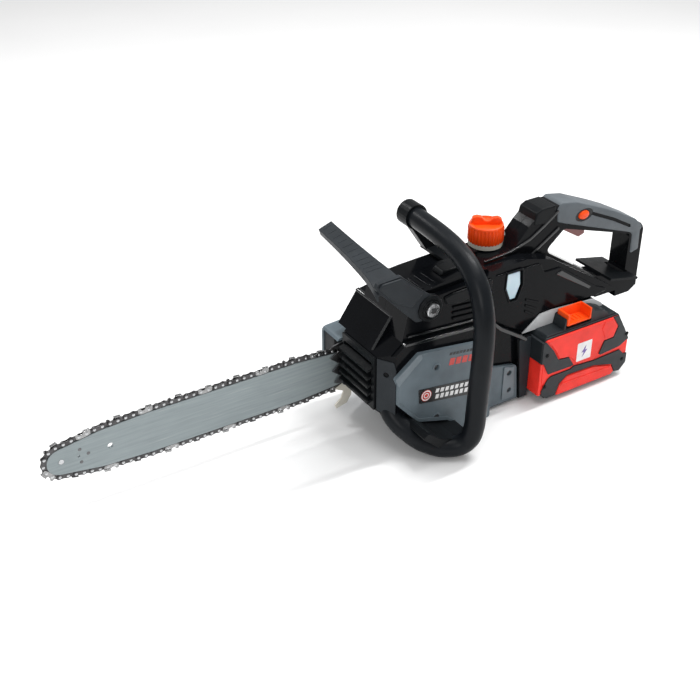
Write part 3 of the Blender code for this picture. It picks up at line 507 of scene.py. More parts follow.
RIVETS = 104                 # 13 whole repeats of the cutter pattern
RIVET_LIFT = 3.7             # rivet centres above the bar's rail
TANG_HALF = 0.55             # half the thickness of a drive link
PLATE = (0.62, 1.8)          # inner and outer face of a side plate, from the bar's middle
STRAP = rounded([(-7.6, -2.2, 1.4), (-7.6, 1.4, 2.2), (-4.8, 3.1, 1.2), (-1.4, 2.3, 1.0),
        (1.4, 2.3, 1.0), (4.8, 3.1, 1.2), (7.6, 1.4, 2.2), (7.6, -2.2, 1.4), (4.8, -3.2, 0.8),
        (-4.8, -3.2, 0.8)], 2)
TANG = [(-7.2, -2.6), (-7.4, 1.0), (-5.4, 2.7), (-2.0, 2.5), (1.0, 2.9), (4.0, 4.4), (6.2, 3.9),
        (7.4, 0.8), (7.2, -2.6), (4.2, -3.2), (3.4, -5.6), (1.8, -6.7), (-0.6, -6.7), (-2.4, -5.0),
        (-4.2, -3.2)]
SIDE_PLATE = [(-8.6, -2.4), (-9.2, 1.0), (-9.0, 4.3), (-1.2, 4.9), (-0.9, 3.0), (0.6, 1.4), (2.6, 1.3),
              (4.0, 2.6), (5.2, 4.3), (7.6, 4.4), (8.4, 2.6), (8.2, -1.8), (5.0, -3.2), (-5.0, -3.2)]
CUTTER_TOP = [(-9.0, 3.7), (-8.8, 4.5), (-1.0, 5.15), (-1.5, 4.2)]
CUTTER_LIP = [(-9.0, 1.6), (-9.0, 4.2), (-1.2, 4.9), (-1.8, 2.4)]


def flank(bm, points, side, faces, here):
    """Plate on one side (-1 or 1) of the chain's middle plane."""
    low, high = sorted(side * y for y in faces)
    add_slab(bm, points, low, high, "XZ", here)


def chain():
    """Drive links, tie straps, left and right cutters and rivets, laid along the loop."""
    count = RIVETS
    rivets = rivet_points(RIVET_LIFT, count)
    links, cutters, pins = bmesh.new(), bmesh.new(), bmesh.new()

    def place(i):
        """Matrix that puts a link's own (s, h) outline between rivets i and i + 1."""
        a, b = rivets[i % count], rivets[(i + 1) % count]
        ahead = (b - a).normalized()
        out = Vector((ahead.y, -ahead.x))
        middle = (a + b) / 2 * MM
        return Matrix(((ahead.x, 0, out.x, middle.x), (0, 1, 0, BAR_Y * MM),
                       (ahead.y, 0, out.y, middle.y), (0, 0, 0, 1)))

    for i in range(count):
        here = place(i)
        if i % 2 == 0:
            add_slab(links, TANG, -TANG_HALF, TANG_HALF, "XZ", here)
            continue
        kind = (i // 2) % 4
        if kind in (0, 2):
            side = -1 if kind == 0 else 1
            flank(cutters, SIDE_PLATE, side, PLATE, here)
            flank(cutters, CUTTER_TOP, side, (2.7, -0.9), here)
            flank(cutters, CUTTER_LIP, side, (1.75, 2.7), here)
            flank(links, STRAP, -side, PLATE, here)
        else:
            for side in (-1, 1):
                flank(links, STRAP, side, PLATE, here)
    for p in rivets:
        for side in (-1, 1):
            profile = [(0, 2.35), (1.0, 2.3), (1.75, 1.9), (1.75, 1.7), (0, 1.7)]
            add_ring(pins, [(r, side * h) for r, h in profile], (p.x, BAR_Y, p.y), "Y", 10)
    piece(mesh_object("chain_links", links), CHAIN, "bar", ["saw_chain"], 0.25, 1)
    piece(mesh_object("chain_cutters", cutters), CUTTER, "bar", ["saw_chain"], 0.2, 1)
    piece(mesh_object("chain_rivets", pins), BRIGHT, "bar", ["saw_chain"])


def bar_details():
    """Small rivet heads round the bar's nose."""
    bm = bmesh.new()
    for dx, dz in ((22, 8.5), (22, -8.5), (31, 0)):
        for side in (-1, 1):
            profile = [(0, 2.3), (1.5, 2.25), (2.1, 2.05), (2.1, 1.6), (0, 1.6)]
            add_ring(bm, [(r, side * h) for r, h in profile], (NOSE_X + dx, BAR_Y, AXIS_Z + dz), "Y",
                     18)
    piece(mesh_object("nose_rivet_heads", bm), DARK_STEEL, "bar")


# ---------------------------------------------------------------- CAD nodes that stay
def carry_over():
    """Finish of each CAD node that stays in sight or inside; replaced ones may be among them."""
    dress("guide_bar", BAR)
    for node in ("nose_sprocket", "nose_rivet", "tension_pin", "tension_screw", "bar_plate", "bar_stud",
                 "bar_nut", "drive_sprocket", "motor_shaft", "sprocket_clip", "shaft_bearing_right",
                 "shaft_bearing_left", "brake_band", "brake_drum", "trigger_pin"):
        dress(node, BRIGHT)
    dress("spiked_bumper", DARK_STEEL, 0.3)
    dress("chain_catcher", CREAM, 0.5)
    dress("motor_rotor", DARK_STEEL)
    dress("motor_stator", COPPER)
    dress("motor_controller", CAST)
    dress("battery_cells", CAST)
    for node in ("cooling_fan", "oil_pump", "terminal_block", "trigger_switch"):
        dress(node, SATIN_BLACK)
    dress("oil_hose", RUBBER)
    dress("base_pad", RUBBER)
    dress("cap_seal", RUBBER)
    dress("left_housing", BLACK, 0.9)
    dress("right_housing", BLACK, 0.9)
    dress("front_box", BLACK, 1.0)
    dress("front_grille", SATIN_BLACK, 0.6)
    dress("left_side_cover", GREY, 0.8)
    dress("rear_lower_cover", GREY, 0.8)
    dress("sprocket_cover", GREY, 1.5, 3)
    dress("handle_bracket", SATIN_BLACK, 0.9)
    dress("guard_pivot_bolt", BRIGHT, 0.3)
    dress("trigger", TRIGGER, 1.0, 3)
    dress("lock_off_button", ORANGE, 0.8, 3)
    dress("hand_protector", SATIN_BLACK, 0.6)
    dress("oil_tank", CLEAR)
    dress("oil_window", CLEAR, 0.4)
    dress("filler_ring", CREAM, 0.6)
    for node in ("side_cover_screw", "rear_cover_screw_upper", "rear_cover_screw_lower"):
        dress(node, DARK_STEEL, 0.2)


def handle_tube():
    """Round soft-touch handle and its moulded web."""
    path = smooth_path(TUBE_PATH)
    tube = swept("handle_tube", path, TUBE_R, 48)
    piece(tube, TUBE_SOFT, "housing", ["front_handle"], 0.6)
    web = slab("handle_web", rounded([(-38, 43, 2), (-8, 16.5, 6), (10, 9.5, 4), (32, 8.5, 3),
            (38, 12, 2), (38, 20, 3), (14, 24, 6), (-12, 34, 6), (-30, 48, 2)]), -95, -50.3)
    piece(web, SATIN_BLACK, "housing", ["front_handle"], 0.8)


# ---------------------------------------------------------------- battery
BATTERY_FACE = -66.0         # outside of the bumpers
BATTERY_LEFT = 162.0         # end of the battery next to the motor compartment


def overlay(name, outlines, low, high, mat, body="housing", nodes=(), bevel=0.8, segments=3,
            plane="XZ"):
    """Raised panels on a face: one piece made of one or more outlines."""
    bm = bmesh.new()
    for points in outlines:
        add_slab(bm, points, low, high, plane)
    return piece(mesh_object(name, bm), mat, body, nodes, bevel, segments)


def battery_core():
    """Dark case behind the coloured panels, and the deck on top of it."""
    (x0, y0, z0), (x1, y1, z1) = CASE
    core = rounded([(x0, z0 + 11, 3), (x0 + 10, z0, 4), (x1 - 12, z0, 4), (x1 - 0.5, z0 + 13, 4),
                    (x1 - 0.5, 56, 4), (290, z1, 4), (x0 + 4, z1, 4), (x0, z1 - 8, 3)])
    overlay("battery_core", [core], y0, y1, CASE_DARK, "battery", ["battery_case"], 1.6)
    deck = rounded([(168, 94.5, 1), (288, 94.5, 1), (286, 98.6, 2), (172, 98.6, 2)])
    overlay("battery_deck", [deck], y0 + 2, y1 - 1, CASE_DARK, "battery",
            ["battery_top_shell"])
    surround = slab("latch_surround", rounded([(198, 97, 1), (275, 97, 1), (271, 104, 2), (260, 109, 2),
            (247.5, 112, 2), (245.5, 116.5, 2), (201, 113, 3)]), -60.5, -39)
    cut(surround, box_shape("latch_well", (202.3, -80, 98.2), (243.7, -39.4, 130)))
    piece(surround, CASE_DARK, "battery", ["battery_top_shell"], 0.9)
    # Pale strip along the battery bay's edge. It is painted highlight: its pale colour stands for the
    # bright reflection on that edge.
    highlight_strip = [(150, 97.5), (177, 117.6), (196, 118.4), (266, 113.2), (282, 102.5), (283, 97.5)]
    overlay("battery_bay_highlight_strip", [highlight_strip], -38.6, -36.5, PALE_HIGHLIGHT, "battery", ["battery_top_shell"], 0.4)
    rails = repeated([(178, 97.5), (182, 97.5), (182, 103), (178, 103)], 4, 26)
    overlay("battery_rails", rails, -30, y1 - 2, CASE_DARK, "battery", ["battery_top_shell"], 0.5)


def battery_panels():
    """Red panels, the dark bumpers between them, screws and the label with its charge symbol."""
    base, step, face = -63.0, -64.6, BATTERY_FACE
    red = rounded([(166.5, 16, 3), (176, 7.5, 3), (298, 7.5, 3), (310.6, 19, 4), (310.6, 55, 4),
                   (289, 94, 3), (169, 94, 3), (166.5, 90, 2)])
    overlay("battery_stripe", [red], step, base + 0.5, RED, "battery", ["battery_case"], 0.6)
    upper_left = [(162.6, 91.5), (167, 93.6), (181, 77), (190.5, 60.5), (208, 58.5), (217.5, 44),
            (214, 42.6), (175, 43.4), (166.5, 61), (162.6, 62)]
    upper_right = [(278.5, 95.2), (288, 95.2), (302, 71), (311, 53.5), (306, 51.8), (296, 46.2),
            (263, 43.6), (260, 46), (267.5, 63.5), (283, 63.8), (289.3, 79)]
    lower = [(176, 6.8), (167, 14), (166, 20), (175.5, 36), (181, 38.8), (213, 38.8), (217.5, 42),
            (226, 41), (252, 39), (258, 39.2), (297, 40.6), (305, 32), (311.3, 31.5), (311.3, 17),
            (301, 6.4), (292, 8), (285.5, 21.8), (253, 30.6), (208, 31.6), (195.5, 22.4), (190.5, 6.8)]
    overlay("bumper_left", [upper_left], face, step + 0.3, CASE_DARK, "battery",
            ["battery_bumper_front"], 0.7)
    overlay("bumper_right", [upper_right], face, step + 0.3, CASE_DARK, "battery",
            ["battery_bumper_rear"], 0.7)
    overlay("bumper_lower", [lower], face - 0.2, step + 0.3, CASE_DARK, "battery",
            ["battery_bumper_rear"], 0.7)
    top = [(168.5, 94.5), (182.2, 78.2), (191.5, 61.8), (209, 59.6), (226.5, 42.6), (250.5, 40.8),
           (265.8, 65), (281.8, 65.3), (287.6, 79.2), (277, 95.2)]
    overlay("panel_top", [top], face - 0.6, step + 0.2, RED, "battery", ["battery_case"], 1.1)
    facet = rounded([(259, 84, 1), (263.5, 93.6, 1), (276, 93.6, 1), (285.8, 79, 1), (280.6, 66.8, 1),
            (267.5, 66.6, 1)])
    overlay("panel_facet", [facet], face - 1.5, face, RED, "battery", ["battery_case"], 0.8)
    bar = [(191.6, 6.2), (196.4, 21.4), (208.4, 30.4), (252.6, 29.4), (284.6, 20.6), (289.6, 10.6),
           (286, 6.2)]
    overlay("panel_bar", [bar], face - 1.0, step + 0.2, RED, "battery", ["battery_case"], 1.4)
    lip = [(197.5, 19.5), (199.5, 23), (281, 20.8), (283.5, 17.4)]
    overlay("panel_bar_rib", [lip], face - 1.8, face, RED, "battery", ["battery_case"], 0.6)
    side_high, side_low = -64.4, -18.0
    wrap = [(BATTERY_LEFT, side_high), (166, side_high), (166, side_low), (BATTERY_LEFT, side_low)]
    overlay("bumper_wrap", [wrap], 62, 92.5, CASE_DARK, "battery", ["battery_bumper_front"],
            0.9, plane="XY")
    end = [(x + 0.5, y) for x, y in wrap]
    overlay("battery_end", [end], 13.5, 61.5, RED, "battery", ["battery_case"], 0.9, plane="XY")
    studs = bmesh.new()
    for x, z in ((170.5, 73), (171, 26), (306, 62.5), (303.5, 24)):
        add_ring(studs, [(0, 1.7), (1.5, 1.7), (1.5, 0.9), (2.9, 0.7), (2.9, 0), (0, 0)][::-1],
                 (x, face + 0.3, z), "-Y", 20)
    piece(mesh_object("battery_screws", studs), SATIN_BLACK, "battery", ["battery_case"])
    paper = rounded([(220, 47.5, 1.2), (244, 47.5, 1.2), (244, 74.5, 1.2), (220, 74.5, 1.2)])
    overlay("battery_label_film", [paper], face - 1.0, face - 0.4, WHITE, "battery",
            ["battery_label"], 0.15)
    bolt = [[(234.5, 69), (227.5, 59.6), (231.4, 59.6), (229, 52.5), (236.8, 62.4), (232.8, 62.4)]]
    overlay("charge_symbol", bolt, face - 1.25, face - 0.9, LABEL_INK, "battery",
            ["battery_label"], 0.0)


def battery_latch():
    """Orange cup with ribs for a fingertip."""
    latch = box_shape("battery_latch_cup", (203.2, -61.8, 102.2), (242.8, -40.2, 118.8))
    soften_now(latch, 1.6)
    cut(latch, box_shape("cup_room", (206, -75, 104.8), (240, -43.2, 130)))
    piece(latch, ORANGE, "battery_latch", ["battery_latch"], 0.5)
    ribs = repeated([(212, -56), (214, -56), (214, -45), (212, -45)], 4, 6)
    overlay("latch_ribs", ribs, 104.2, 105.8, ORANGE, "battery_latch", ["battery_latch"], 0.4,
            plane="XY")


# ---------------------------------------------------------------- rear handle
def rear_grip():
    """Soft overmould over the handle's top and down both of its sides."""
    skin = slab("grip_skin", rounded([(211, 226, 3), (208.5, 244, 4), (214, 251.6, 6),
            (239.5, 246.6, 12), (283.5, 228.2, 20), (310.8, 215.6, 20), (346.8, 196.4, 8),
            (360.6, 183, 4), (356.8, 178.5, 2), (358, 151, 3), (343.6, 147, 3), (343.2, 175.5, 5),
            (338.6, 179.6, 3), (228, 219.4, 6)]), -16.9, 16.9)
    soften_now(skin, 2.4, 4)
    # what is left after this cut is a shell 1.5 mm thick
    inside = slab("grip_inside", [(200, 190), (200, 247.5), (212, 248.3), (238, 242.8), (282, 224.4),
            (309, 211.8), (345, 192.8), (358, 181.5), (362, 150), (362, 120), (330, 120), (330, 160)],
            -15.4, 15.4)
    cut(skin, inside)
    cut(skin, slab("lock_ring", ellipse(BUTTON[0] + 0.5, BUTTON[1], 14.5, 8.4), -40, -10),
        slab("slot_left", GRIP_SLOT, -40, -10), slab("slot_right", GRIP_SLOT, 10, 40))
    piece(skin, GRIP, "housing", ["rear_grip"], 0.4)
    rim = [(358, 188.2), (362, 183.8), (364.8, 178.6), (365, 98), (361.6, 95.6), (361.2, 178),
           (356.6, 184.6)]
    overlay("handle_rim", [rim], -14.8, 14.8, SATIN_BLACK, "housing", ["rear_grip"], 1.2)


GRIP_SLOT = [(266, 227.4), (283, 219.6), (306, 209), (337.5, 191.4), (338.4, 187.8), (336, 187.6),
             (305, 204.6), (282, 215.2), (265.6, 223)]


def lock_off():
    """Domed release button in its dark recess."""
    x, z = BUTTON
    dish = slab("lock_off_dish", ellipse(x + 0.5, z, 14.2, 8.1), -16.2, -15.3)
    cut(dish, slab("dish_hole", ellipse(x, z, 8.9, 6.4), -20, -10))
    piece(dish, RUBBER, bevel=0.2)
    bm = bmesh.new()
    rows = []
    for share, y in ((1.0, -10.6), (1.0, -16.2), (0.93, -17.5), (0.74, -18.4), (0.4, -18.9)):
        outline = ellipse(x, z, 8.4 * share, 5.9 * share)
        rows.append([bm.verts.new(lift(u, v, y, "XZ")) for u, v in outline])
    bridge(bm, rows)
    piece(mesh_object("lock_off_dome", bm), ORANGE, "lock_off", ["lock_off_button"])


def handle_details():
    """Edge rails of the handle's front post and lower bar, and the shoulder above the post."""
    outer = [(100, 200.5), (140, 203), (169, 212.5), (192, 226.5), (211, 240.5), (210, 243.5),
             (190, 229.8), (168, 216), (139.5, 206.2), (100, 203.4)]
    inner = [(122, 190), (168, 191.6), (176, 196.6), (213, 220), (214.5, 216.6), (178, 193.6),
             (169, 188.8), (122, 187.6)]
    overlay("post_rails", [outer, inner], -17.6, -14, EDGE_HIGHLIGHT, bevel=0.9)
    tail = [(207, 178.4), (262, 147.4), (289, 127.4), (287.6, 124.6), (261, 144.4), (206, 175.2)]
    overlay("bar_rail", [tail], -17.2, -14.5, EDGE_HIGHLIGHT, bevel=0.8)
    wedge = rounded([(176, 246.5, 3), (184, 250.2, 3), (206, 250.4, 2), (206, 232, 3), (196, 228, 4),
            (172, 232, 3)])
    overlay("handle_shoulder", [wedge], -16.6, 16.6, SATIN_BLACK, bevel=2.0, segments=4)


# ---------------------------------------------------------------- hand guard
def guard_band():
    """C-shaped band that widens towards its arm, with the arm's plates, hub rings and a dark hexagon on
    the bolt, painted shade for its socket.
    """
    rear_line = [(-52.5, 84, 254.6), (-50, 40, 248.2), (-46, 0, 241.6), (-42.5, -28, 237),
            (-41, -44, 233), (-41, -50, 226)]
    front_line = [(-70.2, 84, 248.2), (-70.6, 40, 244.4), (-72, 0, 240), (-74.5, -28, 236.6),
            (-76.5, -44, 232.4), (-75, -50, 225)]
    bm = bmesh.new()
    ribs = bmesh.new()
    rows = []
    for station, (r, f) in enumerate(zip(smooth_path(rear_line), smooth_path(front_line))):
        across = f - r
        width = across.length
        across.normalize()
        down = Vector((-across.z, 0, across.x)).normalized()
        if down.z > 0:
            down = -down
        section = [(0, 0), (width, 0), (width, 9), (width - 2.4, 9), (width - 2.4, 2.8), (2.4, 2.8),
                (2.4, 6.5), (0, 6.5)]
        rows.append([bm.verts.new((r + across * u + down * v) * MM) for u, v in section])
        if station % 2 == 1 and r.y > -24:
            bar = Matrix(((across.x, 0, -down.x, r.x * MM), (across.y, 1, -down.y, r.y * MM),
                          (across.z, 0, -down.z, r.z * MM), (0, 0, 0, 1)))
            strip = [(4, -0.6), (width - 4, -0.6), (width - 4, 0.6), (4, 0.6)]
            add_slab(ribs, strip, -1.0, 0.35, "XY", bar)
    bridge(bm, rows)
    piece(mesh_object("guard_band", bm), TEXTURED, "guard", ["hand_guard"], 0.9)
    arm = rounded([(-77, 231, 3), (-74, 238, 3), (-44, 239.5, 4), (-10, 210, 8), (9.5, 194, 10),
            (9, 178, 10), (-4, 172.6, 8), (-22, 174, 6), (-34, 186, 8), (-55, 208, 10)])
    overlay("guard_arm_plate", [arm], -50.6, -44.4, TEXTURED, "guard", ["hand_guard"], 1.4)
    facet = rounded([(-74, 233, 2), (-70, 237.4, 2), (-45, 238, 4), (-14, 211, 4), (-30, 196, 6),
            (-55, 211, 6)])
    overlay("guard_arm_facet", [facet], -53.6, -50, TEXTURED, "guard", ["hand_guard"], 2.2, 4)
    hub = (PIVOT[0], -45.2, PIVOT[1])
    ring = bmesh.new()
    add_ring(ring, [(17.2, 0), (17.2, 6.4), (15.6, 8), (12.4, 8), (11.4, 6.6), (11.4, 0)],
             hub, "-Y", 12)
    piece(mesh_object("guard_hub_ring", ring), SATIN_BLACK, "guard", ["hand_guard"], 0.7)
    collar = bmesh.new()
    add_ring(collar, [(11.2, 0), (11.2, 7.6), (10.4, 8.4), (9.2, 8.4), (8.7, 7.6), (8.7, 0)],
             hub, "-Y", 48)
    piece(mesh_object("guard_hub_collar", collar), SATIN_BLACK, "guard", ["hand_guard"])
    # Dark hexagon on the pivot bolt's head: painted shade standing for the socket's recess.
    overlay("bolt_socket_shade", [circle(PIVOT[0], PIVOT[1], 4.0, 6)], -58.6, -57.9, RUBBER, bevel=0.2)
    piece(mesh_object("guard_ribs", ribs), TEXTURED, "guard", ["hand_guard"], 0.3, 2)


# ---------------------------------------------------------------- oil cap
def oil_cap():
    """Ribbed cap with a raised two-lobed wing."""
    x, y, z = CAP
    ribs = 30
    bm = bmesh.new()
    sides = 4 * ribs
    ribbed = [(0.0, 1.5), (1.2, 0.9), (CAP_HEIGHT - 5.5, 0.9), (CAP_HEIGHT - 3.6, 1.6)]
    plain = [(CAP_HEIGHT - 3.2, 1.0), (CAP_HEIGHT - 1.0, 1.4), (CAP_HEIGHT, 2.8), (CAP_HEIGHT, 5.2),
             (CAP_HEIGHT - 1.2, 6.0)]
    rows = []
    for height, inset in ribbed + plain:
        row = []
        for k in range(sides):
            radius = CAP_R - inset
            if len(rows) < len(ribbed):
                radius += 0.75 if k % 4 in (1, 2) else -0.55
            angle = 2 * math.pi * k / sides
            point = (x + radius * math.cos(angle), y + radius * math.sin(angle), z + height)
            row.append(bm.verts.new(Vector(point) * MM))
        rows.append(row)
    bridge(bm, rows)
    piece(mesh_object("cap_body", bm), ORANGE, "oil_cap", ["oil_cap"], 0.0)
    top = z + CAP_HEIGHT
    wing = [(-19.4, top - 2), (-19.4, top + 2), (-17, top + 8.0), (-12, top + 9.4), (-6.5, top + 8.2),
            (-3.2, top + 4.4), (0.4, top + 3.2), (4.4, top + 4.2), (8, top + 7.4), (13.4, top + 8.0),
            (18, top + 5.8), (19.4, top + 1), (19.4, top - 2)]
    place = Matrix.Translation(Vector((x, y, 0)) * MM) @ Matrix.Rotation(math.radians(-32), 4, "Z")
    wing = rounded([(u, v, 1.4) if v > top else (u, v) for u, v in wing], 3)
    lobes = slab("cap_wing", wing, -3.6, 3.6, "XZ", place)
    piece(lobes, ORANGE, "oil_cap", ["oil_cap"], 1.3, 4)


# ---------------------------------------------------------------- side cover and its print
PRINT_LOW, PRINT_HIGH = -55.9, -56.3       # thickness of the printed marks on the cover
RING_CENTRE = (-7.6, -56.5, 72)


def cover_details():
    """Stepped corner, generic printed band, small marks and the screw holes of the left cover; the
    lower hole is a dark disc, painted shade.
    """
    step = [(-52.4, 108.6), (-48, 98.4), (-15.6, 126.8), (-17.6, 133.4), (-21.5, 132.8)]
    overlay("cover_step", [step], -57.6, -55.8, GREY_LIGHT, bevel=0.8)
    foot = [(-47.4, 70.6), (-46.2, 74.5), (-17.4, 42.6), (25, 30), (48.5, 9.6), (48, 4.4), (26, 24.2),
            (-17.6, 37.4)]
    overlay("cover_rim", [foot], -57.0, -55.8, GREY, bevel=0.5)
    band = rounded([(-19, 83.4, 1.5), (74, 70.4, 1), (75, 47.6, 1), (-17.4, 63.2, 1.5)])
    overlay("print_band", [band], -56.55, -55.9, LABEL_BLACK, bevel=0.12)
    disc = bmesh.new()
    add_ring(disc, [(6.9, 0), (6.9, 0.25), (5.5, 0.25), (5.5, 0)], RING_CENTRE, "-Y", 40)
    add_ring(disc, [(3.6, 0), (3.6, 0.25), (2.5, 0.25), (2.5, 0)], RING_CENTRE, "-Y", 32)
    piece(mesh_object("print_ring", disc), WHITE)
    pad = bmesh.new()
    add_ring(pad, [(0, 0.15), (7.6, 0.15), (7.6, 0), (0, 0)], RING_CENTRE, "-Y", 40)
    piece(mesh_object("print_disc", pad), LABEL_RED)
    marks = []
    start, pitch, slope, fall = 5.5, 7.2, 0.14, 0.65
    for k in range(9):
        for base, tall in ((71.4, 5.2), (62.8, 5.8)):
            x = start + pitch * k
            z = base - slope * (x - start)
            marks.append([(x, z), (x + 4.6, z - fall), (x + 6.0, z + tall - fall), (x + 1.4, z + tall)])
    overlay("print_stripes", marks, -56.75, -56.5, WHITE, bevel=0.0)
    ticks = repeated([(24, 117.6), (27.4, 117.1), (28.6, 120.4), (25.2, 120.9)], 7, 5, -0.7)
    overlay("print_ticks", ticks, PRINT_HIGH, PRINT_LOW, LABEL_BLACK, bevel=0.0)
    blocks = repeated([(24, 103.6), (31, 102.6), (33, 111.6), (26, 112.6)], 4, 9.5, -1.3)
    overlay("print_blocks", blocks, PRINT_HIGH, PRINT_LOW, LABEL_RED, bevel=0.0)
    hole_shades, cups = bmesh.new(), bmesh.new()
    upper, lower = (6, -56.0, 107), (9, -56.0, 35)
    for place in (upper, lower):
        add_ring(cups, [(5.6, 0), (5.6, 0.7), (4.7, 1.0), (3.8, 0.7), (3.8, 0)], place, "-Y", 32)
    # Dark disc inside the lower screw rim: painted shade standing for the hole.
    add_ring(hole_shades, [(0, 0.25), (3.7, 0.25), (3.7, 0), (0, 0)], lower, "-Y", 28)
    piece(mesh_object("cover_screw_rims", cups), GREY)
    piece(mesh_object("cover_screw_hole_shade", hole_shades), RUBBER)


def rear_cover_details():
    """Lighter strip with the two screw holes on the lower rear cover."""
    strip = slab("rear_cover_strip", rounded([(122, 9.5, 2), (141.5, 9.5, 2), (138.5, 55, 4),
            (122, 59, 2)]), -42.6, -40.8)
    cut(strip, *[slab("strip_hole", circle(x, z, 3.5), -50, -30) for x, z in ((131, 48), (133, 22))])
    piece(strip, GREY_LIGHT, bevel=0.6)


# ---------------------------------------------------------------- body
def corner_column():
    """Satin panel on the chamfered front left corner, with its screw hole."""
    start, end = Vector((-60.4, -28.6)), Vector((-47.0, -50.1))
    along = (end - start).normalized()
    out = Vector((-along.y, along.x))
    if out.x > 0:
        out = -out
    place = Matrix(((along.x, out.x, 0, start.x * MM), (along.y, out.y, 0, start.y * MM), (0, 0, 1, 0),
                    (0, 0, 0, 1)))
    length = (end - start).length
    panel = slab("corner_column", rounded([(0.5, 54, 1), (length, 54, 1), (length, 117, 2),
            (length - 3, 127, 3), (0.5, 127, 1)]), -0.4, 1.1, "XZ", place)
    cut(panel, slab("column_hole", circle(length / 2, 108, 3.4), -5, 5, "XZ", place))
    piece(panel, TEXTURED, bevel=0.7)


def body_details():
    """Ledges, vent slats and raised panels of the black motor housing."""
    ledge = rounded([(-38, 146.2, 1), (-34, 148.6, 1), (92, 139.8, 1), (106, 126.6, 2), (138, 105.6, 2),
            (149.4, 97.6, 1), (147.6, 93.6, 1), (136.6, 101.2, 2), (104, 122.4, 2), (91, 135.6, 1),
            (-34, 144.4, 1)])
    overlay("shoulder_ledge", [ledge], -50.8, -43.2, EDGE_HIGHLIGHT, bevel=1.4, segments=4)
    second = [(-30, 153.4), (-28, 156), (40, 151), (90, 147.6), (90, 145.2), (40, 148.4)]
    overlay("shoulder_rib", [second], -47.2, -43.5, EDGE_HIGHLIGHT, bevel=1.0)
    slats = repeated([(34, 172), (92, 167.6), (92, 170.6), (34, 175.4)], 3, 0, -7.4)
    overlay("vent_slats", slats, -46.2, -43.6, BLACK, bevel=0.9)
    panel = rounded([(20, 190.6, 2), (32, 193.4, 2), (90, 196.4, 2), (90, 181, 2), (62, 181, 5),
            (44, 177.4, 5), (24, 181.4, 3)])
    overlay("upper_left_panel", [panel], -46.6, -43.5, SATIN_BLACK, bevel=1.6)
    cover = rounded([(-22, 190.4, 2), (-14, 198.4, 3), (20, 205.4, 4), (52, 208.2, 4), (90, 205.4, 4),
            (92, 198.4, 2), (20, 195.2, 2), (-16, 192, 1)])
    overlay("top_cover", [cover], -36, 6, BLACK, bevel=2.2, segments=4)
    spine = rounded([(28, 206, 2), (34, 212.4, 3), (74, 212, 3), (84, 204.6, 2)])
    overlay("top_spine", [spine], -24, -6, SATIN_BLACK, bevel=1.8)
    ribs = repeated([(-10, 197.6), (-6.4, 198.2), (-6.4, 201.4), (-10, 200.8)], 4, 9, 1.4)
    overlay("top_ribs", ribs, -30, 0, BLACK, bevel=0.8)


def pod_details():
    """Moulded side panel over the battery bay, round the oil window, and the bay's front cheek."""
    outline = rounded([(97, 127.5, 2), (107, 127.5, 2), (139.5, 107, 3), (151, 99.6, 2),
            (176.5, 120.6, 3), (196, 120.4, 2), (268, 116.6, 3), (290, 119.6, 2), (284, 124, 3),
            (269, 130.6, 5), (203.5, 176, 6), (177, 176.6, 6), (170.5, 190.4, 4), (97, 192.6, 3)])
    panel = slab("pod_panel", outline, -37.9, -35.2)
    window = rounded([(118.8, 190.4, 2), (141.4, 190.4, 2), (143.2, 170, 4), (135.8, 150.6, 3),
            (125.2, 150.6, 3), (117.8, 170, 4)])
    cut(panel, slab("window_gap", window, -50, -20))
    piece(panel, BLACK, bevel=1.1, segments=4)
    frame_out = rounded([(117, 192, 2), (143.2, 192, 2), (145.2, 170, 4), (137, 148.8, 3),
            (124, 148.8, 3), (115.8, 170, 4)])
    rim = slab("window_rim", frame_out, -39.2, -36.4)
    cut(rim, slab("rim_gap", window, -50, -20))
    piece(rim, SATIN_BLACK, bevel=0.7)
    steps = [[(150, 128.6 + 8 * k), (165 + 3 * k, 118.8 + 8 * k), (167 + 3 * k, 121.4 + 8 * k),
            (151, 131.8 + 8 * k)] for k in range(3)]
    overlay("pod_ribs", steps, -39.2, -37.4, BLACK, bevel=0.7)
    brace = [(196, 168.6), (254, 131.4), (258, 134.4), (205, 171.6)]
    overlay("pod_brace", [brace], -39.4, -37.4, EDGE_HIGHLIGHT, bevel=0.9)
    cheek = rounded([(145.2, 56, 2), (150.2, 5, 1), (161.2, 5, 1), (161.2, 94, 2), (141.6, 94, 2)])
    overlay("dock_cheek_skin", [cheek], -44.2, -42.4, TEXTURED, bevel=0.7)


def front_box_details():
    """Rim, seam and glossy upper edge of the box in front of the guard."""
    rim = [(-58.4, 129.8), (-31.8, 168.6), (-4, 173.8), (-4, 171.2), (-30.6, 166.2), (-56, 129.8)]
    overlay("front_box_rim", [rim], -16.4, -12.6, EDGE_HIGHLIGHT, bevel=0.8)
    seam = [(-34.6, 131), (-12.6, 167.4), (-10.4, 166.6), (-32.2, 131)]
    overlay("front_box_seam", [seam], -15.9, -14, BLACK, bevel=0.5)
    edge = bmesh.new()
    add_slab(edge, [(-32.4, 165.2), (-33.2, 167.4), (-31, 169.2), (-27.6, 169.4), (-28, 167)], -15, 62)
    add_slab(edge, [(-30, 167.6), (-31.6, 170.2), (-22, 171.6), (-22, 168.6)], 20, 24)
    piece(mesh_object("front_box_edge", edge), EDGE_HIGHLIGHT, bevel=1.0)


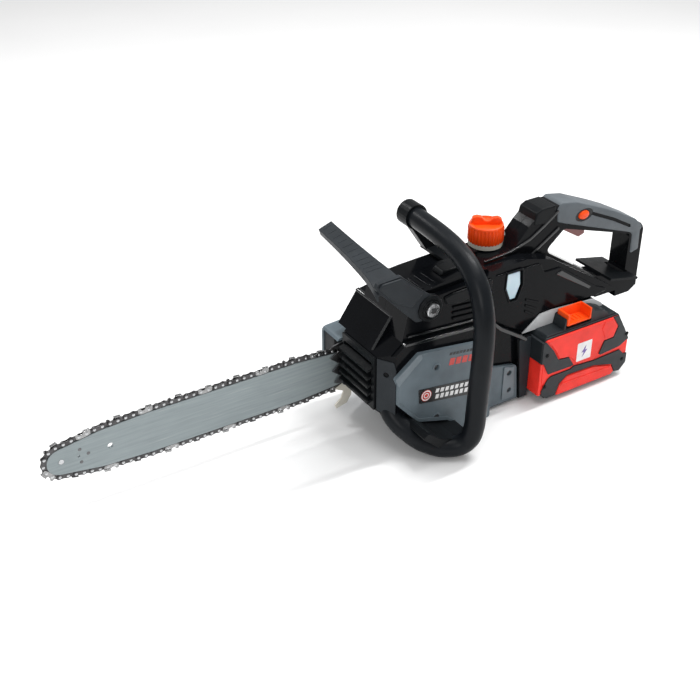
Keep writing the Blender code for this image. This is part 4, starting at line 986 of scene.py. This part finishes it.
def right_side_details():
    """Panels, vents and screws on the side that the photograph doesn't show."""
    side = rounded([(56, 34, 4), (88, 30, 3), (88, 178, 4), (44, 184, 4), (44, 128, 5), (54, 112, 6)])
    overlay("right_motor_panel", [side], 43.4, 45.6, BLACK, bevel=1.2)
    vents = [[(-22 + 0.6 * k, 134 + 8 * k), (34, 134 + 8 * k), (34, 137.4 + 8 * k),
            (-21 + 0.6 * k, 137.4 + 8 * k)] for k in range(5)]
    overlay("right_vents", vents, 42.6, 45.0, BLACK, bevel=0.9)
    pod = rounded([(104, 18, 4), (140, 14, 4), (294, 14, 4), (301, 24, 4), (301, 58, 4), (285, 96, 5),
            (281, 110, 4), (200, 166, 6), (170, 184, 6), (104, 188, 4)])
    overlay("right_pod_panel", [pod], 39.2, 42.0, BLACK, bevel=1.4)
    ribs = [[(150 + 9 * k, 46), (153.4 + 9 * k, 46), (153.4 + 9 * k, 96 - 2 * k),
            (150 + 9 * k, 98 - 2 * k)] for k in range(12)]
    overlay("right_pod_ribs", ribs, 41.6, 43.2, SATIN_BLACK, bevel=0.7)
    grip = [(268, 120), (300, 100), (348, 96), (356, 104), (356, 130), (350, 132), (348, 108),
            (304, 106), (272, 126)]
    overlay("right_handle_rail", [grip], 14.8, 17.0, BLACK, bevel=0.8)
    rims, heads = bmesh.new(), bmesh.new()
    rim = [(5.4, 0), (5.4, 0.9), (4.6, 1.2), (3.7, 0.9), (3.7, 0)]
    head = [(0, 0), (3.4, 0), (3.4, 0.5), (2.0, 0.7), (1.6, 0.35), (0, 0.35)]
    places = [(66, 45.4, 172), (66, 45.4, 46), (114, 41.8, 28), (290, 41.8, 30), (272, 41.8, 104),
            (114, 41.8, 176), (352, 15.2, 112)]
    for place in places:
        add_ring(rims, rim, place, "Y", 28)
        add_ring(heads, head, place, "Y", 24)
    piece(mesh_object("right_screw_rims", rims), SATIN_BLACK)
    piece(mesh_object("right_screw_heads", heads), DARK_STEEL)
    crest = rounded([(-52, 104, 3), (-48, 110, 3), (26, 102, 6), (38, 62, 8), (26, 34, 8), (-22, 34, 4),
            (-56, 52, 4)])
    overlay("sprocket_cover_crest", [crest], 82.6, 84.6, GREY, bevel=1.2)


def cover_mouth_shade():
    """Dark sheet on the front of the sprocket cover, where the bar comes out: painted shade standing
    for the shaded opening.
    """
    mouth = rounded([(56, 38, 2), (78.6, 38, 2), (78.6, 111, 2), (56, 111, 2)])
    overlay("cover_mouth_shade", [mouth], -66.4, -61, RUBBER, bevel=0.6, plane="YZ")


def tube_details():
    """End collar of the tube handle, with a thin ring beside it."""
    collar = bmesh.new()
    centre, inside = (43, 49.5, 250.6), TUBE_R - 0.4
    wide = [(TUBE_R + 1.4, 0), (TUBE_R + 1.4, 12), (inside, 13.2), (inside, 0)]
    thin = [(TUBE_R + 0.7, -3.2), (TUBE_R + 0.7, -1.4), (inside, -1.4), (inside, -3.2)]
    for profile in (wide, thin):
        add_ring(collar, profile, centre, "Y", 48)
    piece(mesh_object("tube_collar", collar), SATIN_BLACK, "housing", ["front_handle"], 0.4)


# ---------------------------------------------------------------- stage, light and camera
def stage():
    """Pale floor, soft sky and five softboxes; sizes and places here are in metres."""
    bm = bmesh.new()
    half, level = 30.0, -0.0005
    corners = ((-half, -half), (half, -half), (half, half), (-half, half))
    bm.faces.new([bm.verts.new((x, y, level)) for x, y in corners])
    floor = mesh_object("studio_floor", bm)
    g = Graph("studio_floor")
    g.set(Roughness=0.9, Specular_IOR_Level=0.1)
    g.link(g.ramp(g.noise(3.0), [(0.3, 0.88), (0.7, 0.9)]), g.shader.inputs["Base Color"])
    floor.data.materials.append(g.mat)

    world = bpy.data.worlds.new("studio")
    bpy.context.scene.world = world
    world.use_nodes = True
    sky = world.node_tree.nodes["Background"]
    sky.inputs["Color"].default_value = (1.0, 1.0, 1.0, 1.0)
    sky.inputs["Strength"].default_value = 0.48

    def softbox(name, where, target, size, energy):
        light = bpy.data.lights.new(name, "AREA")
        light.shape = "RECTANGLE"
        light.size, light.size_y = size
        light.energy = energy
        obj = bpy.data.objects.new(name, light)
        obj.location = where
        obj.rotation_euler = (Vector(target) - Vector(where)).to_track_quat("-Z", "Y").to_euler()
        bpy.context.scene.collection.objects.link(obj)

    softbox("overhead_softbox", (0.2, 0.1, 3.0), (0.2, 0.1, 0.0), (2.6, 2.6), 50.0)
    softbox("back_softbox", (-0.42, 1.28, 1.3), (0.0, 0.0, 0.15), (0.35, 0.08), 6.0)
    softbox("top_softbox", (0.83, -0.05, 1.73), (0.0, 0.0, 0.15), (0.05, 1.0), 20.0)
    softbox("front_softbox", (-1.3, -1.2, 1.2), (0.0, 0.0, 0.12), (0.7, 0.7), 9.0)
    softbox("rear_softbox", (1.4, 0.4, 0.9), (0.1, 0.0, 0.15), (0.5, 1.0), 2.5)


def camera():
    """Same viewing angle as the photograph: 32 degrees to the left, 32 degrees from above."""
    cam = bpy.data.cameras.new("camera")
    cam.sensor_width = 36.0
    cam.lens = 59.14
    obj = bpy.data.objects.new("camera", cam)
    obj.location = (-0.68127, -0.96407, 0.83969)
    above, left = 32.0, 32.0
    obj.rotation_euler = (math.radians(90.0 - above), 0.0, math.radians(-left))
    bpy.context.scene.collection.objects.link(obj)
    bpy.context.scene.camera = obj
    bpy.context.scene.view_settings.view_transform = "Standard"


carry_over()
chain()
bar_details()
handle_tube()
tube_details()
battery_core()
battery_panels()
battery_latch()
rear_grip()
lock_off()
handle_details()
guard_band()
oil_cap()
cover_details()
rear_cover_details()
corner_column()
body_details()
pod_details()
front_box_details()
cover_mouth_shade()
right_side_details()
stage()
camera()
